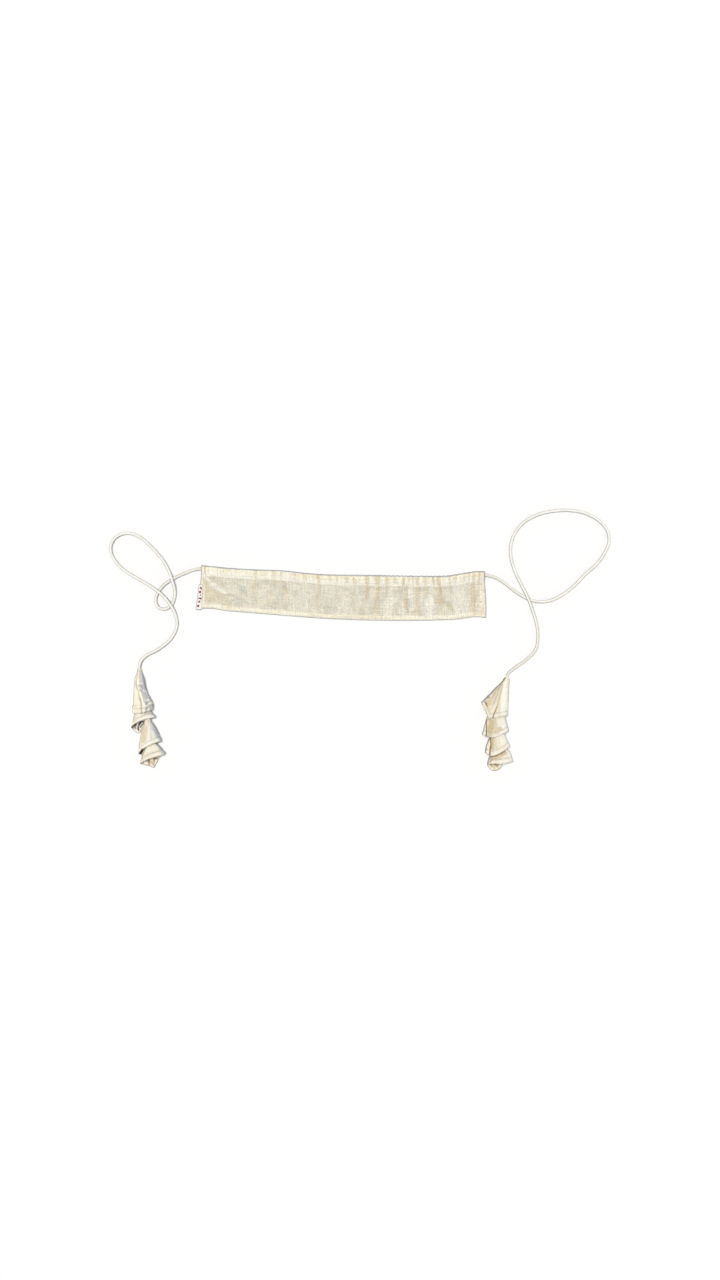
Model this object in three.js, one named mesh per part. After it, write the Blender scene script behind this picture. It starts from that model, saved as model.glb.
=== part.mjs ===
import * as THREE from 'three';

// A narrow cotton tie-on scarf laid flat: a hemmed muslin band, a fabric cord drawn through
// the casing along its top edge, and a tassel of nested cloth cones at each end of the cord.
// Millimetres. X runs along the band, Y across it towards the casing, Z up from the table.

// Driving sizes
const bandLeft = -203;
const bandRight = 198.4;
const clothWall = 1.0;
const hemWall = 1.8;
const hemDepth = 6.4;
const sideBow = 2.6;
const seatGap = 0.3;
const cordDiameter = 4.2;
const cordRadius = cordDiameter / 2;
const cordLying = cordRadius + seatGap;
const cordOver = cordLying + cordDiameter + seatGap;
const casingDepth = 13.4;
const casingCordDepth = 5.0;
const casingCordHeight = clothWall + seatGap + cordRadius;
const mouthInset = 6.0;
const cordSides = 8;
const cordStep = 11;
const neckBore = cordRadius + 0.5;
const labelWall = 1.0;

// Edges of the band: top is the casing's fold, foot the lower hem
const bandEdges = [
  { x: -203, top: 39.2, foot: -22.0 },
  { x: -186, top: 37.7, foot: -22.3 },
  { x: -165, top: 35.6, foot: -25.5 },
  { x: -134, top: 33.7, foot: -27.9 },
  { x: -90, top: 32.0, foot: -31.6 },
  { x: -50, top: 27.9, foot: -34.6 },
  { x: -20, top: 26.0, foot: -36.6 },
  { x: 36, top: 25.3, foot: -38.6 },
  { x: 93, top: 24.2, foot: -39.0 },
  { x: 142, top: 24.2, foot: -38.2 },
  { x: 163, top: 27.0, foot: -36.8 },
  { x: 185, top: 30.6, foot: -33.8 },
  { x: 203, top: 30.4, foot: -35.2 },
];

// Pleats that the drawn cord gathers: drift is the foot's lean along X, reach the share of the
// field that the pleat crosses, rise its height and width half its base
const pleats = [
  { x: -162, drift: -3, reach: 0.45, rise: 1.0, width: 6.0 },
  { x: -127, drift: -2, reach: 0.85, rise: 1.4, width: 5.5 },
  { x: -101, drift: -4, reach: 0.95, rise: 1.5, width: 5.5 },
  { x: -85, drift: 3, reach: 0.55, rise: 1.2, width: 5.0 },
  { x: -49, drift: 0, reach: 0.35, rise: 1.0, width: 4.5 },
  { x: -35, drift: -5, reach: 0.95, rise: 1.5, width: 5.0 },
  { x: -15, drift: -2, reach: 0.6, rise: 1.1, width: 4.0 },
  { x: 12, drift: 0, reach: 0.9, rise: 1.2, width: 4.0 },
  { x: 32, drift: -6, reach: 0.65, rise: 1.9, width: 4.2 },
  { x: 47, drift: -6, reach: 0.6, rise: 2.1, width: 4.2 },
  { x: 59, drift: -2, reach: 0.6, rise: 1.7, width: 3.8 },
  { x: 72, drift: 0, reach: 0.3, rise: 1.3, width: 4.0 },
  { x: 86, drift: -1, reach: 0.9, rise: 2.0, width: 4.4 },
  { x: 104, drift: 1, reach: 1.0, rise: 2.2, width: 4.4 },
  { x: 116, drift: 0, reach: 0.6, rise: 1.7, width: 4.0 },
  { x: 134, drift: 4, reach: 0.8, rise: 2.4, width: 4.8 },
  { x: 149, drift: 2, reach: 0.4, rise: 1.6, width: 4.0 },
  { x: 163, drift: 0, reach: 0.25, rise: 1.3, width: 4.0 },
  { x: 181, drift: 0, reach: 0.95, rise: 1.7, width: 4.4 },
];

// Slack creases of the loosely held left end, each a low ridge between two points of the field
const creases = [
  { x1: -198, y1: 20, x2: -166, y2: 0, rise: 1.4, width: 7 },
  { x1: -192, y1: 0, x2: -150, y2: 1, rise: 1.1, width: 8 },
  { x1: 142, y1: -11, x2: 156, y2: -22, rise: 1.4, width: 6 },
];

// Free ends of the drawstring, each a route from the casing mouth to its tassel: x, y and the
// share of a crossing's height, 0 on the table and 1 where the cord passes over itself
const leftRoute = [
  [-197, 33.8, 0.22], [-205, 34.3, 0.27], [-215, 32.1, 0], [-237, 23.2, 0], [-247.7, 17.2, 0],
  [-255.5, 11.4, 0], [-262, 3.9, 0], [-266.9, -6.2, 0], [-267, -14.5, 0], [-262, -21.5, 0],
  [-252.5, -22.4, 0], [-244.7, -16.6, 0], [-241, -7.4, 0], [-240.4, 4, 0.2], [-243.8, 17.6, 1],
  [-249, 31.7, 0.15], [-259.6, 49.4, 0], [-290.3, 79.3, 0], [-307.7, 84.7, 0], [-321.7, 80.5, 0],
  [-330.2, 69.6, 0], [-330.6, 56.8, 0], [-323.8, 44, 0], [-311, 31.3, 0], [-291.8, 19.5, 0],
  [-275.1, 9.8, 0.3], [-263.2, 1.7, 1], [-254.5, -6.6, 0.6], [-246, -17.4, 1], [-239.2, -31.2, 0.2],
  [-237.3, -46.7, 0], [-245.8, -64.7, 0], [-263.1, -79.3, 0], [-281.1, -89.1, 0.04], [-288.2, -96.7, 0.2],
];
const rightRoute = [
  [192.4, 25.7, 0.22], [200.8, 25.3, 0.27], [214, 21.3, 0], [227.3, 13.5, 0], [242, 1.8, 0],
  [255.4, -6.5, 0], [267.5, -11.2, 0], [279.8, -12.4, 0], [293.1, -10.3, 0], [309, -2.3, 0],
  [325.4, 10.4, 0], [340.9, 26.4, 0], [356.8, 40.7, 0], [368.8, 57.3, 0], [374.9, 74.3, 0],
  [371.3, 90.3, 0], [359.5, 103.1, 0], [341.6, 112.8, 0], [320.2, 116.9, 0], [296.2, 116.1, 0],
  [274.7, 111.2, 0], [255.8, 101.4, 0], [242.5, 86.5, 0], [235.9, 69.1, 0], [235.8, 50.1, 0],
  [241.9, 29.5, 0], [250.2, 12, 0.44], [259.9, -8.2, 1], [266.2, -25, 0.55], [272.1, -43.7, 0],
  [274.1, -64.7, 0], [270.2, -81.2, 0], [255.8, -96, 0], [240.5, -106.5, 0.1],
];

// Tassels. Each is placed where the cord enters it, and measured from there: across to the
// right and down the tassel. core is the cord inside: across, down and height. Each ring of a
// cone has the columns below, from the neck's side to the hem: fall is the share of the hem's
// fall that it takes, base the height of its underside, flat how far it lies pressed.
// front and back are the hem's fall, with its corner at a share across; round 0 is straight
// sides, 1 a round corner and less a blunt one.
const ringColumns = ['left', 'right', 'downLeft', 'downRight', 'fall', 'base', 'height', 'flat'];
const leftTassel = {
  name: 'tassel_left',
  place: [-290.4, -104.4],
  core: [[0, 0, 3.8], [3.4, 34, 5.9], [11.4, 70, 6], [16.4, 101, 6], [17.8, 111, 6]],
  tiers: [
    {
      neck: { across: 0.1, down: 1.5, height: 3.9, lean: -8 },
      rings: [
        [-4.6, 4.8, 9, 8, 0, 0, 8.6, 0.3],
        [-7.2, 8.4, 18, 18, 0, 0, 11, 0.7],
        [-7.8, 12.4, 34, 35, 0, 0, 14, 1],
        [-7.8, 20.6, 52, 50.5, 0.6, 0, 16.5, 1],
        [-9.4, 21.2, 56.5, 56, 0.8, 0, 18, 1],
        [-8.6, 19.4, 66, 61.5, 1, 0, 17.5, 1],
      ],
      front: { fall: 1.5, at: 0, left: 1, right: 1, round: 1 },
      back: { fall: 1, at: 0, left: 1, right: 1, round: 1 },
      folds: [
        { at: -0.35, width: 0.16, lift: -1.4 },
        { at: -0.12, width: 0.16, lift: 1.3 },
        { at: 0.57, width: 0.2, lift: -1.5 },
        { at: 0.75, width: 0.14, lift: 0.9 },
      ],
    },
    {
      neck: { across: 3.4, down: 34, height: 5.9, lean: 8 },
      rings: [
        [-1.8, 8.8, 43, 42, 0, 1.8, 9, 0.4],
        [-5, 13.6, 55, 53, 0, 1.7, 11, 1],
        [-6.6, 16.6, 66, 61, 0, 1.7, 12, 1],
        [-8.8, 21.6, 76, 67, 0.35, 0.2, 15, 1],
        [-10.8, 24.8, 86.6, 71.6, 1, 0, 17, 1],
      ],
      front: { fall: -1, at: 0, left: 1, right: 1, round: 1 },
      back: { fall: 11.5, at: -0.5, left: 0.5, right: 0.75, round: 1 },
      folds: [{ at: -0.57, width: 0.2, lift: 0.8 }, { at: 0.35, width: 0.2, lift: -0.8 }],
    },
    {
      neck: { across: 11.4, down: 70, height: 6, lean: 10 },
      rings: [
        [6.2, 17.2, 79, 76, 0, 1.8, 9, 0.4],
        [3.2, 22.2, 88, 82, 0, 1.6, 11.4, 1],
        [1.6, 27.4, 99, 91, 0, 0.5, 13.5, 1],
        [0.4, 31.4, 112, 99, 0.4, 0, 15.5, 1],
        [-0.6, 33.8, 123.5, 104.8, 1, 0, 17, 1],
      ],
      front: { fall: -2.2, at: -0.1, left: 0.9, right: 0.9, round: 1 },
      back: { fall: 5, at: -0.71, left: 0.29, right: 0.5, round: 0 },
      folds: [{ at: -0.57, width: 0.2, lift: -0.9 }, { at: 0.12, width: 0.25, lift: 0.9 }],
    },
    {
      neck: { across: 16.4, down: 101, height: 6, lean: 8 },
      rings: [
        [10.4, 23, 110, 107, 0, 1.8, 9, 0.4],
        [6.4, 30, 121, 112, 0, 1.6, 11.4, 1],
        [4.2, 35, 130, 117.5, 0.3, 0.3, 14, 1],
        [2.3, 39, 138, 123.8, 1, 0, 16, 1],
      ],
      front: { fall: -0.6, at: 0, left: 1, right: 1, round: 1 },
      back: { fall: 13, at: 0, left: 1, right: 0.6, round: 0 },
      folds: [{ at: 0.35, width: 0.2, lift: -1 }],
    },
  ],
};

const rightTassel = {
  name: 'tassel_right',
  place: [230.8, -115.4],
  core: [[0, 0, 3.8], [-6.6, 20, 5], [-11, 36, 5.9], [-14, 69, 6], [-14, 97, 6], [-14, 107, 6]],
  tiers: [
    {
      neck: { across: -0.6, down: 1.5, height: 3.95, lean: -28 },
      rings: [
        [-8, 3.2, 10, 8, 0, 0, 8.6, 0.4],
        [-17, 2.8, 20.5, 20, 0.15, 0, 11.5, 0.8],
        [-27, 2.2, 32, 34, 0.35, 0, 14, 1],
        [-35.4, 1.4, 40, 48, 0.75, 0, 16, 1],
        [-36, 0.6, 44, 58.2, 1, 0, 17.5, 1],
      ],
      front: { fall: 15, at: -0.35, left: 0.65, right: 1.35, round: 0 },
      back: { fall: 11, at: -0.38, left: 0.62, right: 1.38, round: 0 },
      folds: [
        { at: -0.75, width: 0.26, lift: -3.6 },
        { at: -0.12, width: 0.13, lift: 1.6 },
        { at: 0.12, width: 0.16, lift: -1.2 },
      ],
    },
    {
      neck: { across: -11, down: 36, height: 5.9, lean: -8 },
      rings: [
        [-18.4, -5.4, 44.5, 44.5, 0, 1.8, 9, 0.4],
        [-24.4, -3.2, 53, 54, 0.2, 1.7, 11, 1],
        [-28.6, -1.6, 60, 62.5, 0.3, 1.6, 12, 1],
        [-32.8, 0.8, 73, 72, 0.7, 0, 15, 1],
        [-35.2, 2.8, 84.5, 79.4, 1, 0, 17, 1],
      ],
      front: { fall: 6, at: -0.2, left: 0.8, right: 1.2, round: 1 },
      back: { fall: 4, at: -0.2, left: 0.8, right: 1.2, round: 1 },
      folds: [{ at: -0.57, width: 0.16, lift: -1.6 }, { at: 0.12, width: 0.25, lift: 0.8 }],
    },
    {
      neck: { across: -14, down: 69, height: 6, lean: 0 },
      rings: [
        [-20.6, -7.6, 77.5, 77, 0, 1.8, 9, 0.4],
        [-24, -3.6, 86, 84, 0, 1.6, 11, 1],
        [-26.4, 0, 92, 91, 0.1, 1.2, 12.3, 1],
        [-29.8, 2.4, 102, 96.5, 0.6, 0, 15, 1],
        [-31, 4.4, 110.8, 101.4, 1, 0, 17, 1],
      ],
      front: { fall: 6.5, at: -0.4, left: 0.6, right: 1.4, round: 1 },
      back: { fall: 3, at: -0.2, left: 0.8, right: 1.2, round: 1 },
      folds: [{ at: -0.57, width: 0.16, lift: -1.5 }, { at: -0.12, width: 0.22, lift: 0.9 }],
    },
    {
      neck: { across: -14, down: 97, height: 6, lean: 0 },
      rings: [
        [-20.2, -7, 105.5, 103, 0, 1.8, 9, 0.4],
        [-23.6, 1.2, 113, 106, 0.1, 1.6, 11, 1],
        [-26.6, 6, 119.5, 112, 0.3, 0.6, 13.3, 1],
        [-28, 8.8, 126.4, 123, 1, 0, 15, 1],
      ],
      front: { fall: 1.5, at: 0, left: 1, right: 1, round: 1 },
      back: { fall: 11.5, at: -0.38, left: 0.62, right: 0.6, round: 0.5 },
      folds: [{ at: -0.57, width: 0.22, lift: -1.8 }, { at: 0.12, width: 0.25, lift: 0.8 }],
    },
  ],
};

// A label folded flat over the left hem; rows are its upper and lower ends
const labelEnds = [
  { y: 12.4, left: -206.2, right: -200.4, leftHeight: 2.0 },
  { y: -24.2, left: -211.2, right: -202.4, leftHeight: 0.9 },
];

const colours = { muslin: 0xe9dfc6, cord: 0xf6f0df, label: 0xf4f2ec, tassel: 0xe6d7b4 };

function finish(colour, roughness = 0.92) {
  return new THREE.MeshStandardMaterial({ color: colour, roughness, metalness: 0 });
}

function solid(name, vertices, triangles, material) {
  const geometry = new THREE.BufferGeometry();
  const places = vertices.flatMap((vertex) => vertex.toArray());
  geometry.setAttribute('position', new THREE.Float32BufferAttribute(places, 3));
  geometry.setIndex(triangles.flat());
  geometry.computeVertexNormals();
  const mesh = new THREE.Mesh(geometry, material);
  mesh.name = name;
  return mesh;
}

// Joins two rings of equal count with a band of triangles
function bridge(first, second, count) {
  const triangles = [];
  for (let i = 0; i < count; i++) {
    const next = (i + 1) % count;
    triangles.push([first + i, second + i, second + next], [first + i, second + next, first + next]);
  }
  return triangles;
}

// Smooth value of one column of a table at x, by a cubic through the rows
function along(rows, x, column) {
  let i = 0;
  while (i < rows.length - 2 && rows[i + 1].x < x) i++;
  const row = (k) => rows[THREE.MathUtils.clamp(k, 0, rows.length - 1)];
  const slope = (k) => (row(k + 1)[column] - row(k - 1)[column]) / (row(k + 1).x - row(k - 1).x);
  const span = rows[i + 1].x - rows[i].x;
  const t = THREE.MathUtils.clamp((x - rows[i].x) / span, 0, 1);
  const eased = 3 * t ** 2 - 2 * t ** 3;
  const leaving = t ** 3 - 2 * t ** 2 + t;
  const arriving = t ** 3 - t ** 2;
  return (1 - eased) * rows[i][column] + leaving * span * slope(i)
    + eased * rows[i + 1][column] + arriving * span * slope(i + 1);
}

// Height of the pleats over the flat field, at a station and a share of the way down
function pleatRise(station, share) {
  const dyingAway = 0.35;
  let rise = 0;
  for (const pleat of pleats) {
    const away = Math.abs(station - pleat.x) / pleat.width;
    if (away >= 1) continue;
    const fade = THREE.MathUtils.smoothstep(pleat.reach - share, 0, dyingAway);
    rise += pleat.rise * 0.5 * (1 + Math.cos(Math.PI * away)) * fade;
  }
  return rise;
}

function pleatDrift(station) {
  return along([{ x: bandLeft, drift: 0 }, ...pleats, { x: bandRight, drift: 0 }], station, 'drift');
}

function creaseRise(x, y) {
  let rise = 0;
  const here = new THREE.Vector3(x, y);
  for (const crease of creases) {
    const ends = [new THREE.Vector3(crease.x1, crease.y1), new THREE.Vector3(crease.x2, crease.y2)];
    const line = new THREE.Line3(...ends);
    const away = line.closestPointToPoint(here, true, new THREE.Vector3()).distanceTo(here) / crease.width;
    rise = Math.max(rise, crease.rise * (1 - THREE.MathUtils.smoothstep(away, 0, 1)));
  }
  return rise;
}

// The band, one cloth: field, side and foot hems, and the casing turned over the cord
function band() {
  const hemStep = 0.3;
  const leastSpan = 0.25;
  const bowSharpness = 12;
  const underPleat = 0.8;
  const crests = pleats.flatMap((pleat) => [pleat.x - pleat.width, pleat.x, pleat.x + pleat.width]);
  const plain = [-190, -182, -174, -150, -142, -115, -70, -60, -27, 0, 156, 172];
  const stations = [bandLeft, bandLeft + hemDepth, bandLeft + hemDepth + hemStep, ...crests, ...plain,
    bandRight - hemDepth - hemStep, bandRight - hemDepth, bandRight]
    .sort((a, b) => a - b)
    .filter((x, i, all) => i === 0 || x - all[i - 1] > leastSpan);
  // The casing's section, outside and bore: depth down from the top edge, and height
  const casingOuter = [
    [1.8, 0], [0.5, 1.3], [0.1, 3.2], [1.0, 5.4], [3.2, 6.8], [6.4, 6.9], [9.2, 5.2], [11.6, 2.9],
    [casingDepth, 1.9],
  ];
  const casingInner = [
    [2.4, 1], [1.5, 3.1], [2.2, 4.9], [3.8, 5.8], [6.1, 5.8], [8.4, 4.1], [10.4, 2.1], [11.2, 1],
  ];
  const fieldShares = [0.03, 0.2, 0.38, 0.56, 0.74, 0.9];
  const outer = [];
  const inner = [];
  for (const station of stations) {
    const fromEnd = Math.min(station - bandLeft, bandRight - station);
    const hemmed = fromEnd < hemDepth + hemStep / 2;
    const wall = hemmed ? hemWall : clothWall;
    const drift = pleatDrift(station);
    const end = station / (station < 0 ? -bandLeft : bandRight);
    const bow = Math.sign(end) * Math.abs(end) ** bowSharpness * sideBow;
    const place = (depth, share, height) => {
      const x = station + drift * share + bow * Math.sin(2.2 * share);
      const top = along(bandEdges, x, 'top');
      const field = top - casingDepth - along(bandEdges, x, 'foot');
      return new THREE.Vector3(x, top - depth - share * field, height);
    };
    const gather = pleatRise(station, 0);
    const proud = (hemmed ? 0.5 : 0) + 0.4 * gather;
    const crest = casingOuter.map(([depth, height], i) => {
      const edge = i === 2 ? proud * 0.4 : 0;
      return place(depth - edge, 0, height + (i > 2 && i < 8 ? proud : 0));
    });
    const fieldHeight = along(bandEdges, station, 'top') - along(bandEdges, station, 'foot') - casingDepth;
    const footShare = 1 - hemDepth / fieldHeight;
    const shares = fieldShares.map((share) => Math.min(share, footShare - 0.02));
    const lifts = shares.map((share) => {
      const point = place(casingDepth, share, 0);
      return hemmed ? 0 : Math.max(pleatRise(station, share), creaseRise(point.x, point.y));
    });
    const tops = shares.map((share, i) => place(casingDepth, share, wall + lifts[i]));
    const under = shares.map((share, i) => place(casingDepth, share, underPleat * lifts[i])).reverse();
    const hem = [[footShare, hemWall], [1, hemWall], [1, 0], [footShare, 0]]
      .map(([share, height]) => place(casingDepth, share, height));
    outer.push([...crest, ...tops, ...hem, ...under, place(casingDepth - 0.8, 0, 0)]);
    inner.push(casingInner.map(([depth, height]) => place(depth, 0, height)));
  }
  const outerCount = outer[0].length;
  const innerCount = inner[0].length;
  const vertices = [...outer.flat(), ...inner.flat()];
  const innerStart = outer.length * outerCount;
  const triangles = [];
  for (let i = 0; i + 1 < stations.length; i++) {
    triangles.push(...bridge(i * outerCount, (i + 1) * outerCount, outerCount));
    triangles.push(...bridge(innerStart + (i + 1) * innerCount, innerStart + i * innerCount, innerCount));
  }
  for (const i of [0, stations.length - 1]) {
    const flat = (point) => new THREE.Vector2(-point.y, point.z);
    const faces = THREE.ShapeUtils.triangulateShape(outer[i].map(flat), [inner[i].map(flat)]);
    const index = (k) => (k < outerCount ? i * outerCount + k : innerStart + i * innerCount + k - outerCount);
    for (const [a, b, c] of faces) {
      triangles.push(i === 0 ? [index(a), index(c), index(b)] : [index(a), index(b), index(c)]);
    }
  }
  return outward(solid('band', vertices, triangles, finish(colours.muslin)));
}

// Turns a closed mesh right side out
function outward(mesh) {
  const position = mesh.geometry.attributes.position;
  const index = mesh.geometry.index;
  const [a, b, c] = [new THREE.Vector3(), new THREE.Vector3(), new THREE.Vector3()];
  let volume = 0;
  for (let i = 0; i < index.count; i += 3) {
    a.fromBufferAttribute(position, index.getX(i));
    b.fromBufferAttribute(position, index.getX(i + 1));
    c.fromBufferAttribute(position, index.getX(i + 2));
    volume += a.dot(b.clone().cross(c)) / 6;
  }
  if (volume < 0) {
    for (let i = 0; i < index.count; i += 3) {
      const swap = index.getX(i + 1);
      index.setX(i + 1, index.getX(i + 2));
      index.setX(i + 2, swap);
    }
    mesh.geometry.computeVertexNormals();
  }
  return mesh;
}

function cord(name, points) {
  const route = new THREE.CatmullRomCurve3(points, false, 'centripetal');
  const section = new THREE.Shape();
  for (let i = 0; i < cordSides; i++) {
    const turn = (2 * Math.PI * i) / cordSides;
    const corner = [cordRadius * Math.cos(turn), cordRadius * Math.sin(turn)];
    if (i === 0) section.moveTo(...corner);
    else section.lineTo(...corner);
  }
  const steps = Math.round(route.getLength() / cordStep);
  const geometry = new THREE.ExtrudeGeometry(section, { steps, extrudePath: route, bevelEnabled: false });
  const mesh = new THREE.Mesh(geometry, finish(colours.cord));
  mesh.name = name;
  return mesh;
}

// The stretch of cord that the casing holds, clear of the free ends' faces
function drawstring() {
  const endGap = 0.7;
  const [from, to] = [bandLeft + mouthInset + endGap, bandRight - mouthInset - endGap];
  const spans = 24;
  const points = [];
  for (let i = 0; i <= spans; i++) {
    const x = THREE.MathUtils.lerp(from, to, i / spans);
    points.push(new THREE.Vector3(x, along(bandEdges, x, 'top') - casingCordDepth, casingCordHeight));
  }
  return cord('drawstring', points);
}

function freeCord(name, route, tassel) {
  const outside = route.map(([x, y, over]) => (
    new THREE.Vector3(x, y, THREE.MathUtils.lerp(cordLying, cordOver, over))
  ));
  const inside = tassel.core.map(([across, down, height]) => (
    new THREE.Vector3(tassel.place[0] + across, tassel.place[1] - down, height)
  ));
  return cord(name, [...outside, ...inside]);
}

const ringFront = 13;
const ringBack = 8;

// How far a hem falls at a share across it: all of its fall at the corner, none past its reach
function hemFall(across, hem) {
  const away = across < hem.at ? (hem.at - across) / hem.left : (across - hem.at) / hem.right;
  if (away >= 1) return 0;
  return hem.fall * (hem.round ? Math.cos((away * Math.PI) / 2) ** hem.round : 1 - away);
}

// One ring of a cone, the outer face or the inner face set in by the cloth's thickness
function coneRing(ring, { front, back, folds }, foldReach, inset) {
  const { lerp } = THREE.MathUtils;
  const turns = [];
  for (let i = 0; i < ringFront; i++) turns.push((Math.PI * i) / ringFront);
  for (let i = 0; i < ringBack; i++) turns.push(Math.PI * (1 + i / ringBack));
  const span = new THREE.Vector2(ring.right - ring.left, ring.downRight - ring.downLeft);
  const half = span.length() / 2 - inset;
  const side = span.clone().normalize();
  const middle = new THREE.Vector2(ring.left + ring.right, ring.downLeft + ring.downRight).divideScalar(2);
  const top = ring.base + ring.height - inset;
  const under = ring.base + inset;
  const edge = lerp(under, top, lerp(0.5, 0.36, ring.flat));
  return turns.map((turn) => {
    const across = Math.cos(turn);
    const up = Math.abs(Math.sin(turn));
    const isFront = turn < Math.PI;
    const crown = up ** lerp(1, isFront ? 0.8 : 0.5, ring.flat);
    let height = isFront ? lerp(edge, top, crown) : lerp(edge, under, crown);
    if (isFront) {
      for (const fold of folds) {
        height += foldReach * crown * fold.lift * Math.exp(-(((across - fold.at) / fold.width) ** 2));
      }
    }
    const fall = ring.fall * hemFall(across, isFront ? front : back);
    const x = middle.x + side.x * half * across - 0.3 * side.y * fall;
    const down = middle.y + side.y * half * across + fall;
    return new THREE.Vector3(x, -down, height);
  });
}

// A cone of cloth: outer rings down to the hem, then inner rings back up to the neck
function cone(name, tier) {
  const { neck } = tier;
  const neckRadius = neckBore + clothWall;
  const tilt = neckRadius * Math.tan(THREE.MathUtils.degToRad(neck.lean));
  const neckRing = [neck.across - neckRadius, neck.across + neckRadius, neck.down + tilt, neck.down - tilt,
    0, neck.height - neckRadius, 2 * neckRadius, 0];
  const rings = [neckRing, ...tier.rings].map((row) => (
    Object.fromEntries(ringColumns.map((column, i) => [column, row[i]]))
  ));
  const foldReach = (i) => THREE.MathUtils.smoothstep(i / tier.rings.length, 0, 0.8);
  const outer = rings.map((ring, i) => coneRing(ring, tier, foldReach(i), 0));
  const inner = rings.map((ring, i) => coneRing(ring, tier, foldReach(i), clothWall)).reverse();
  const loops = [...outer, ...inner];
  const count = ringFront + ringBack;
  const triangles = [];
  for (let i = 0; i < loops.length; i++) {
    triangles.push(...bridge(i * count, ((i + 1) % loops.length) * count, count));
  }
  return outward(solid(name, loops.flat(), triangles, finish(colours.tassel, 0.88)));
}

function tassel(spec) {
  const group = new THREE.Group();
  group.position.set(...spec.place, 0);
  spec.tiers.forEach((tier, i) => group.add(cone(`${spec.name}_tier_${i + 1}`, tier)));
  return group;
}

// The label drapes from the top of the hem towards the table
function label() {
  const seam = hemWall + seatGap;
  const overHem = 0.55;
  const sections = [0, 0.5, 1].map((share) => {
    const mix = (column) => THREE.MathUtils.lerp(labelEnds[0][column], labelEnds[1][column], share);
    const [left, right, y] = [mix('left'), mix('right'), mix('y')];
    const bend = THREE.MathUtils.lerp(left, right, overHem);
    const low = mix('leftHeight');
    const profile = [[left, low], [bend, seam + 0.2], [right, seam]];
    const under = profile.map(([x, z]) => new THREE.Vector3(x, y, z));
    const upper = profile.map(([x, z]) => new THREE.Vector3(x, y, z + labelWall)).reverse();
    return [...under, ...upper];
  });
  const count = sections[0].length;
  const triangles = [...bridge(0, count, count), ...bridge(count, 2 * count, count)];
  const flat = (point) => new THREE.Vector2(point.x, point.z);
  for (const [start, ring] of [[0, sections[0]], [2 * count, sections[2]]]) {
    for (const [a, b, c] of THREE.ShapeUtils.triangulateShape(ring.map(flat), [])) {
      triangles.push(start === 0 ? [a, b, c] : [start + a, start + c, start + b]);
    }
  }
  return outward(solid('label', sections.flat(), triangles, finish(colours.label, 0.7)));
}

const scarf = new THREE.Group();
scarf.name = 'scarf';
scarf.add(band(), label(), drawstring());
scarf.add(freeCord('cord_left', leftRoute, leftTassel), freeCord('cord_right', rightRoute, rightTassel));
scarf.add(tassel(leftTassel), tassel(rightTassel));

export default scarf;
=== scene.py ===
import math
import bpy
import numpy as np
from mathutils import Matrix, Vector, noise


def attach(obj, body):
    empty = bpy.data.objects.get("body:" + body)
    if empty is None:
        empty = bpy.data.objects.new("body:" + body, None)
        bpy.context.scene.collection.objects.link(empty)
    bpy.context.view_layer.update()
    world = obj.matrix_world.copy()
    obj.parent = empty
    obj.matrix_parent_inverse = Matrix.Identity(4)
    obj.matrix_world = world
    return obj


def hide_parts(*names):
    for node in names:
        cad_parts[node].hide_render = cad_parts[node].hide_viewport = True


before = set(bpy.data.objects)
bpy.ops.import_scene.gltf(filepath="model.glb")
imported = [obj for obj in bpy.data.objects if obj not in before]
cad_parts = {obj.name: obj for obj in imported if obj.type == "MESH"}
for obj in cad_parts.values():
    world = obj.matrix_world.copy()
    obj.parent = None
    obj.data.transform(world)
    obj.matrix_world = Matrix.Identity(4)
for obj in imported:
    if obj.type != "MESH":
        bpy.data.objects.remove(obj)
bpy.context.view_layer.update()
mm = 0.001

# Camera straight above, as the scarf was laid out and seen
view = {"aim": (0.02198, -0.06665), "height": 2.4, "sensor": 36.0, "frameLong": 1.815, "clipEnd": 100}


def addCamera():
    camera = bpy.data.objects.new("camera", bpy.data.cameras.new("camera"))
    bpy.context.scene.collection.objects.link(camera)
    camera.location = (*view["aim"], view["height"])
    camera.data.sensor_width = view["sensor"]
    camera.data.lens = view["sensor"] * view["height"] / view["frameLong"]
    camera.data.clip_end = view["clipEnd"]
    bpy.context.scene.camera = camera


def deselect():
    bpy.ops.object.select_all(action="DESELECT")


def makeActive(piece):
    deselect()
    piece.select_set(True)
    bpy.context.view_layer.objects.active = piece


def applyModifier(piece, kind, **settings):
    makeActive(piece)
    modifier = piece.modifiers.new(kind.lower(), kind)
    for name, value in settings.items():
        setattr(modifier, name, value)
    bpy.ops.object.modifier_apply(modifier=modifier.name)


def editAll(piece):
    makeActive(piece)
    bpy.ops.object.mode_set(mode="EDIT")
    bpy.ops.mesh.select_all(action="SELECT")


# Lines and tables, in millimetres

def routePoints(points, perSpan):
    # centripetal Catmull-Rom line, the one that the solids' cords follow
    points = [np.array(p, float) for p in points]
    points = [2 * points[0] - points[1], *points, 2 * points[-1] - points[-2]]
    line = []
    for a, b, c, d in zip(points, points[1:], points[2:], points[3:]):
        gaps = [max(np.linalg.norm(q - p) ** 0.5, 1e-4) for p, q in ((a, b), (b, c), (c, d))]
        leave = ((b - a) / gaps[0] - (c - a) / (gaps[0] + gaps[1]) + (c - b) / gaps[1]) * gaps[1]
        arrive = ((c - b) / gaps[1] - (d - b) / (gaps[1] + gaps[2]) + (d - c) / gaps[2]) * gaps[1]
        for t in np.arange(perSpan) / perSpan:
            line.append(b + leave * t + (3 * (c - b) - 2 * leave - arrive) * t ** 2
                        + (2 * (b - c) + leave + arrive) * t ** 3)
    return np.array([*line, points[-2]])


def reachOf(rows):
    # distance from the first row of points to each row
    steps = np.linalg.norm(np.diff(rows, axis=0), axis=-1)
    return np.concatenate([0 * steps[:1], np.cumsum(steps, axis=0)])


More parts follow.
